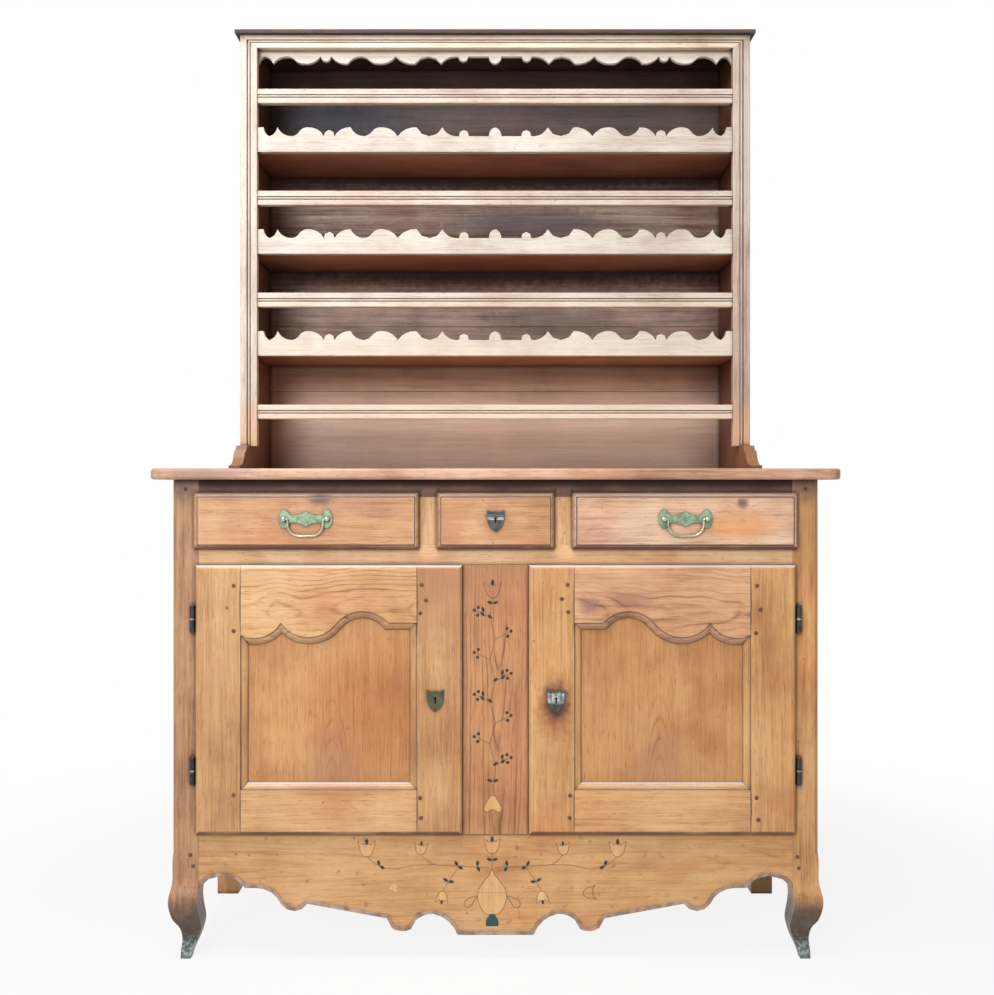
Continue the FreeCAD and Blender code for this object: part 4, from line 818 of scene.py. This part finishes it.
def dress_escutcheons():
    """Dull brass on the left door, and steel with a bare band on the other two."""
    dress(metal("old_brass", old_brass, 3.0, 0.35, 0.42), "left_door_escutcheon")
    for index, (node, (low_share, high_share)) in enumerate(bright_shares.items()):
        low, high = heights_of(node)
        middle = low + (high - low) * (low_share + high_share) / 2
        band = (middle, (high - low) * (high_share - low_share) / 2)
        dress(metal(node, old_steel, 4.0 + index / 2, 0.5, 0.36, bands=(band,)), node)


def dress_metal():
    """Pulls, hinges and locks."""
    dress(metal("verdigris", verdigris, 1.0, 0.2, 0.42), "left_drawer_pull_plate", "right_drawer_pull_plate")
    dress(metal("bail_brass", bail_brass, 2.0, 0.6, 0.26), "left_drawer_bail", "right_drawer_bail")
    low, high = heights_of("left_door_hinge_halves")
    ring_middles = (low - hinge_ring * 0.6, high - hinge_knuckle - hinge_ring * 0.6)
    rings = [(middle, hinge_ring / 2) for middle in ring_middles]
    iron = metal("hinge_iron", hinge_iron, 5.0, 0.8, 0.36, bare_edges=0.5, bands=rings)
    dress(iron, "lower_hinge_halves", "left_door_hinge_halves", "right_door_hinge_halves")
    lock = metal("lock_iron", lock_iron, 6.0, 0.7, 0.5)
    dress(lock, "door_lock_left", "door_lock_right", "centre_drawer_lock")
    dress(lock, "door_bolt_left", "door_bolt_right", "centre_drawer_bolt")


def added(name, data):
    """An object in the scene that shows a mesh, a lamp or a camera."""
    piece = bpy.data.objects.new(name, data)
    bpy.context.scene.collection.objects.link(piece)
    return piece


def shown(name, mesh, material):
    """Turn a bmesh into an object."""
    data = bpy.data.meshes.new(name)
    mesh.to_mesh(data)
    mesh.free()
    data.materials.append(material)
    return added(name, data)


def keep(name, mesh, material, body):
    """Turn a bmesh into a shown piece that moves with a body."""
    bmesh.ops.recalc_face_normals(mesh, faces=mesh.faces)
    piece = shown(name, mesh, material)
    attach(piece, body)


def skin(mesh, rings):
    """Faces between rings of corners, and one over the last ring."""
    for lower, upper in zip(rings, rings[1:]):
        for index in range(len(lower)):
            following = (index + 1) % len(lower)
            mesh.faces.new((lower[index], lower[following], upper[following], upper[index]))
    mesh.faces.new(rings[-1])


def raised(mesh, points, face, proud=inlay_proud):
    """A thin inlaid plate: front outline points (x, z), a softened rim, and sides sunk in the wood."""
    middle = sum((Vector(point) for point in points), Vector((0, 0))) / len(points)
    rings = []
    depths = ((1.0, face + inlay_sunk), (1.0, face - proud * rim_share), (shoulder_share, face - proud))
    for share, depth in depths:
        ring = []
        for point in points:
            x, z = middle + (Vector(point) - middle) * share
            ring.append(mesh.verts.new((x, depth, z)))
        rings.append(ring)
    skin(mesh, rings)


def placed(points, centre, size, angle=0.0):
    """Points of a unit shape, sized, turned and set down round a centre."""
    cos, sin = math.cos(angle), math.sin(angle)
    result = []
    for x, z in points:
        x = x * size
        z = z * size
        result.append((centre[0] + x * cos - z * sin, centre[1] + x * sin + z * cos))
    return result


def mirrored_outline(half):
    """Close an outline that is given from its top middle down its right side to its bottom middle."""
    return list(half) + [(-x, z) for x, z in reversed(half) if x > 0]


def round_points(count):
    """A circle of radius 1."""
    angles = [2 * math.pi * index / count for index in range(count)]
    return [(math.cos(angle), math.sin(angle)) for angle in angles]


def lens_points():
    """A pointed leaf that lies along x from 0 to 1."""
    shares = [index / leaf_cuts for index in range(leaf_cuts + 1)]
    upper = [(share, leaf_belly_share * math.sin(math.pi * share)) for share in shares]
    return upper + [(x, -z) for x, z in reversed(upper[1:-1])]


def stem(mesh, points, face, width, proud=line_proud):
    """A thin inlaid line through points (x, z)."""
    for start, end in zip(points, points[1:]):
        along = (Vector(end) - Vector(start)).normalized()
        side = Vector((-along.y, along.x)) * width
        corners = [Vector(start) - side, Vector(end) - side, Vector(end) + side, Vector(start) + side]
        raised(mesh, corners, face, proud)


def beside(points, middle, side):
    """Points given as (outward, height), set down to the right (1) or the left (-1) of a middle."""
    return [(middle + side * x, z) for x, z in points]


def outline(mesh, points, face):
    """A thin line all round a shape."""
    for start, end in zip(points, points[1:] + points[:1]):
        stem(mesh, (start, end), face, line_width)


def leaf_pair(mesh, centre, face, middle, side=1, angle=0.0):
    """Two pointed leaves that open to both sides of a stem."""
    for turn in (leaf_spread, math.pi - leaf_spread):
        raised(mesh, beside(placed(lens_points(), centre, leaf_size, angle + turn), middle, side), face)


def tulip(meshes, flower, shares, centre, size, face, angle=0.0, middle=0.0, side=1):
    """A tulip with a dark edge and a small leaf in its mouth."""
    points = beside(placed(mirrored_outline(shares), centre, size, angle), middle, side)
    raised(meshes[flower], points, face)
    outline(meshes["lines"], points, face)
    if shares is tulip_shares:
        mouth = placed((shares[0],), centre, size, angle)[0]
        bud = beside(placed(lens_points(), mouth, size * bud_share, angle + math.pi / 2), middle, side)
        raised(meshes["leaves"], bud, face, overlay_proud)


def add_stile_inlay(meshes):
    """A vine with berries between two tulips, on the centre stile."""
    middle = stile_inlay_x
    upper, lower = stile_tulip_heights
    tulip(meshes, "rose", tulip_shares, (middle, upper), stile_tulip_size, stile_face)
    tulip(meshes, "flowers", bell_shares, (middle, lower), stile_tulip_size, stile_face)
    for height in stile_leaf_heights:
        leaf_pair(meshes["leaves"], (0.0, height), stile_face, middle)
    vine = [(middle, stile_vine_ends[0])]
    for row in range(spray_count):
        side = -1 if row % 2 == 0 else 1
        height = spray_top - spray_pitch * row
        for outward, up in berry_spots:
            spot = (spray_reach + outward, height + up)
            dot = placed(round_points(berry_sides), spot, berry_radius, chance.random())
            raised(meshes["berries"], beside(dot, middle, side), stile_face)
        if row in leafy_sprays:
            for outward, up, angle in spray_leaves:
                leaf = placed(lens_points(), (spray_reach + outward, height + up), leaf_size, angle)
                raised(meshes["leaves"], beside(leaf, middle, side), stile_face)
        joint = (vine_swing, height - vine_drop)
        twig = beside((joint, (spray_reach, height)), middle, side)
        stem(meshes["stems"], twig, stile_face, stem_width)
        vine.append(twig[0])
    vine.append((middle, stile_vine_ends[1]))
    stem(meshes["stems"], vine, stile_face, stem_width)


def add_vase(meshes):
    """A two-handled vase on a foot, with a line of dashes round its belly, on the apron."""
    middle = apron_inlay_x
    body = placed(mirrored_outline(vase_shares), (middle, vase_middle), vase_size)
    raised(meshes["vase"], body, apron_face)
    outline(meshes["lines"], body, apron_face)
    base = placed(mirrored_outline(foot_shares), (middle, vase_foot_height), vase_foot_size)
    raised(meshes["foot"], base, apron_face)
    for index in range(vase_dashes):
        x = middle + (index - (vase_dashes - 1) / 2) * dash_pitch
        dash = ((x - dash_half, vase_middle), (x + dash_half, vase_middle))
        stem(meshes["lines"], dash, apron_face, line_width, overlay_proud)
    for side in (-1, 1):
        stem(meshes["lines"], beside(vase_handle, middle, side), apron_face, line_width)


def add_apron_inlay(meshes):
    """Tulips, leaves and vines to both sides of the vase."""
    middle = apron_inlay_x
    height, size = apron_crown
    tulip(meshes, "flowers", tulip_shares, (middle, height), size, apron_face)
    leaf_pair(meshes["leaves"], (0.0, apron_crown_leaves), apron_face, middle)
    stem(meshes["stems"], [(middle, end) for end in apron_crown_stem], apron_face, stem_width)
    x, height, size, angle = fallen_tulip
    raised(meshes["flowers"], placed(mirrored_outline(tulip_shares), (x, height), size, angle), apron_face)
    x, height, size, angle = lost_tulip
    outline(meshes["lines"], placed(mirrored_outline(tulip_shares), (x, height), size, angle), apron_face)
    for side in (-1, 1):
        for outward, height, size, angle in apron_tulips:
            tulip(meshes, "flowers", tulip_shares, (outward, height), size, apron_face, angle, middle, side)
        for outward, height, angle in apron_leaves:
            leaf_pair(meshes["leaves"], (outward, height), apron_face, middle, side, angle)
        for vine in apron_vines:
            stem(meshes["stems"], beside(vine, middle, side), apron_face, stem_width)


def add_inlay():
    """Coloured woods let into the centre stile and the apron."""
    looks = {
        "flowers": (maple, "pale_cherry"), "rose": (rose_wood, "pale_cherry"), "vase": (maple, "pale_cherry"),
        "leaves": (green_stain, "cherry"), "foot": (teal_stain, "cherry"), "berries": (berry_stain, "cherry"),
        "stems": (stem_stain, "cherry"), "lines": (line_stain, "cherry"),
    }
    meshes = {name: bmesh.new() for name in looks}
    add_stile_inlay(meshes)
    add_vase(meshes)
    add_apron_inlay(meshes)
    for seed, (name, (tones, slot)) in enumerate(looks.items(), 90):
        material = wood("inlay_" + name, tones, "z", seed, rings=0.0, wear=0.0, dirt=0.2)
        keep("inlay_" + name, meshes[name], material, "carcass")


def dome(mesh, centre, radius, height, sides, sunk):
    """A slightly uneven round head on a face that looks to the front."""
    turn = chance.uniform(0, 2 * math.pi)
    uneven = [chance.uniform(0.92, 1.06) for _ in range(sides)]
    rings = []
    for share, rise in ((1.0, -sunk), (1.0, height * 0.35), (0.86, height * 0.75), (0.5, height)):
        ring = []
        for index in range(sides):
            angle = turn + 2 * math.pi * index / sides
            reach = radius * share * uneven[index]
            x = centre[0] + reach * math.cos(angle)
            z = centre[2] + reach * math.sin(angle)
            ring.append(mesh.verts.new((x, centre[1] - rise, z)))
        rings.append(ring)
    skin(mesh, rings)


def add_heads(name, spots, sizes, material, body):
    """A piece made of round heads at points (x, y, z)."""
    mesh = bmesh.new()
    for spot in spots:
        dome(mesh, spot, *sizes)
    keep(name, mesh, material, body)


def add_pegs():
    """Wooden pegs that pin the tenons, as they show on the doors, the posts and the upper rail."""
    peg_wood = wood("peg_wood", ebony, "y", 96.0, rings=0.0, dirt=0.9)
    for body, places in door_peg_spots.items():
        spots = [(x, door_face, z) for x, z in places]
        add_heads(body + "_pegs", spots, door_peg, peg_wood, body)
    spots = [(x, rail_face, z) for x, z in post_peg_spots]
    add_heads("frame_pegs", spots, frame_peg, peg_wood, "carcass")
    spots = [(x, rail_face, z) for x, z in rail_peg_spots]
    sooty_wood = wood("sooty_wood", soot, "y", 97.0, rings=0.0)
    add_heads("rail_pegs", spots, frame_peg, sooty_wood, "carcass")


def add_nails():
    """Round nail heads that hold the escutcheons."""
    iron = metal("nail_iron", nail_iron, 7.0, 0.7, 0.4)
    slots = {"left_door": "old_brass", "right_door": "old_steel", "centre_drawer": "old_steel"}
    for body, slot in slots.items():
        node = body + "_escutcheon"
        low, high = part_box(node)
        middle = (low.x + high.x) / 2
        face = door_face - escutcheon_thickness
        spots = [(middle + x, face, low.z + share * (high.z - low.z)) for x, share in nail_places]
        add_heads(node + "_nails", spots, nail, iron, body)


def add_knobs():
    """Round heads on the posts of the drawer pulls."""
    brass = metal("knob_brass", knob_brass, 8.0, 0.9, 0.16)
    for drawer in ("left_drawer", "right_drawer"):
        plate = drawer + "_pull_plate"
        middle = middle_of(plate)
        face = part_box(plate)[0].y
        spots = [(middle.x + side * knob_spacing / 2, face, middle.z) for side in (-1, 1)]
        add_heads(drawer + "_knobs", spots, knob, brass, drawer)


def front_flat(node):
    """Lower left and upper right corners (x, z) of the flat front of a node, and its depth."""
    spots = [vertex.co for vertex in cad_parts[node].data.vertices]
    front = min(spot.y for spot in spots)
    flat = [spot for spot in spots if spot.y < front + flat_tolerance]
    low = (min(spot.x for spot in flat), min(spot.z for spot in flat))
    high = (max(spot.x for spot in flat), max(spot.z for spot in flat))
    return low, high, front


def frame_points(low, high, inset):
    """Corners of an inset frame, from the lower left by the top to the lower right."""
    left, bottom = low[0] + inset, low[1] + inset
    right, top = high[0] - inset, high[1] - inset
    return [(left, bottom), (left, top), (right, top), (right, bottom)]


def add_drawer_lines():
    """A dark line of painted shade round the flat of each drawer, and a pale line of painted highlight inside
    it at the sides and top.
    """
    dark = wood("groove_shade_wood", groove_shade_wood, "x", 99.0, rings=0.0, wear=0.0, dirt=0.4)
    pale = wood("edge_highlight_wood", edge_highlight_wood, "x", 99.5, rings=0.0, wear=0.0, dirt=0.4)
    for drawer in ("left_drawer", "centre_drawer", "right_drawer"):
        low, high, face = front_flat(drawer + "_front")
        mesh = bmesh.new()
        ring = frame_points(low, high, groove_inset)
        stem(mesh, ring + ring[:1], face, groove_half)
        keep(drawer + "_groove_shade", mesh, dark, drawer)
        mesh = bmesh.new()
        stem(mesh, frame_points(low, high, highlight_inset), face, highlight_half)
        keep(drawer + "_edge_highlight", mesh, pale, drawer)


def add_tongues():
    """Loose tongues in the joints between the back boards of the hutch."""
    low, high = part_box("hutch_back_boards")
    ends = (low.x + tongue_end_gap, high.x - tongue_end_gap)
    middle = (low.y + high.y) / 2
    mesh = bmesh.new()
    for height in back_joints():
        rings = []
        for x in ends:
            ring = []
            for index in range(tongue_sides):
                angle = 2 * math.pi * (index + 0.5) / tongue_sides
                y = middle + tongue_thickness / 2 * math.cos(angle)
                ring.append(mesh.verts.new((x, y, height + tongue_half * math.sin(angle))))
            rings.append(ring)
        skin(mesh, rings)
        mesh.faces.new(rings[0])
    keep("back_tongues", mesh, wood("tongue_wood", soot, "x", 98.0, rings=0.0), "carcass")


def lamp(name, place, target, size, watts):
    """A square soft lamp that looks at a target."""
    data = bpy.data.lights.new(name, "AREA")
    data.size = size
    data.energy = watts
    piece = added(name, data)
    piece.location = place
    piece.rotation_euler = (Vector(target) - Vector(place)).to_track_quat("-Z", "Y").to_euler()


def add_surround():
    """A surround that looks white, and gives the object only a little even light."""
    tree = Tree(bpy.data.worlds.new("surround"))
    level = tree.add("MapRange", {"Value": tree.seen(), "To Min": surround_light, "To Max": 1.0})
    backdrop = tree.add("Background", {"Color": (1.0, 1.0, 1.0, 1.0), "Strength": level})
    tree.add("OutputWorld", {"Surface": backdrop})
    bpy.context.scene.world = tree.owner


def add_floor():
    """A pale floor that fades to white and keeps a soft shadow."""
    tree = Tree(bpy.data.materials.new("pale_floor"))
    place = tree.add("TexCoord", {}, "Object")
    colour = tree.blend(tree.noise(place, 0.7, 2.0), *floor_tones)
    matt = tree.add("BsdfDiffuse", {"Color": colour})
    white = tree.add("Emission", {"Strength": 1.0})
    away = tree.span(tree.length(place), *floor_white, floor_share, 1.0)
    share = tree.maths("MULTIPLY", away, tree.seen())
    surface = tree.add("MixShader", {0: share, 1: matt, 2: white})
    tree.add("OutputMaterial", {"Surface": surface})
    mesh = bmesh.new()
    bmesh.ops.create_grid(mesh, x_segments=2, y_segments=2, size=floor_half)
    floor = shown("floor", mesh, tree.owner)


def add_camera():
    """A camera that looks straight at the front."""
    data = bpy.data.cameras.new("camera")
    data.lens = lens
    data.sensor_width = sensor_width
    data.sensor_fit = "HORIZONTAL"
    data.shift_x, data.shift_y = camera_shift
    camera = added("camera", data)
    camera.location = camera_place
    camera.rotation_euler = (math.pi / 2, 0.0, 0.0)
    bpy.context.scene.camera = camera
    bpy.context.scene.view_settings.view_transform = "Standard"


dress_posts()
dress_rails()
dress_boards()
dress_inside()
dress_drawers()
dress_doors()
dress_hutch_front()
dress_hutch_inside()
dress_escutcheons()
dress_metal()
add_inlay()
add_pegs()
add_nails()
add_knobs()
add_drawer_lines()
add_tongues()
add_surround()
add_floor()
lamp("overhead", *overhead_lamp)
lamp("key", *key_lamp)
add_camera()
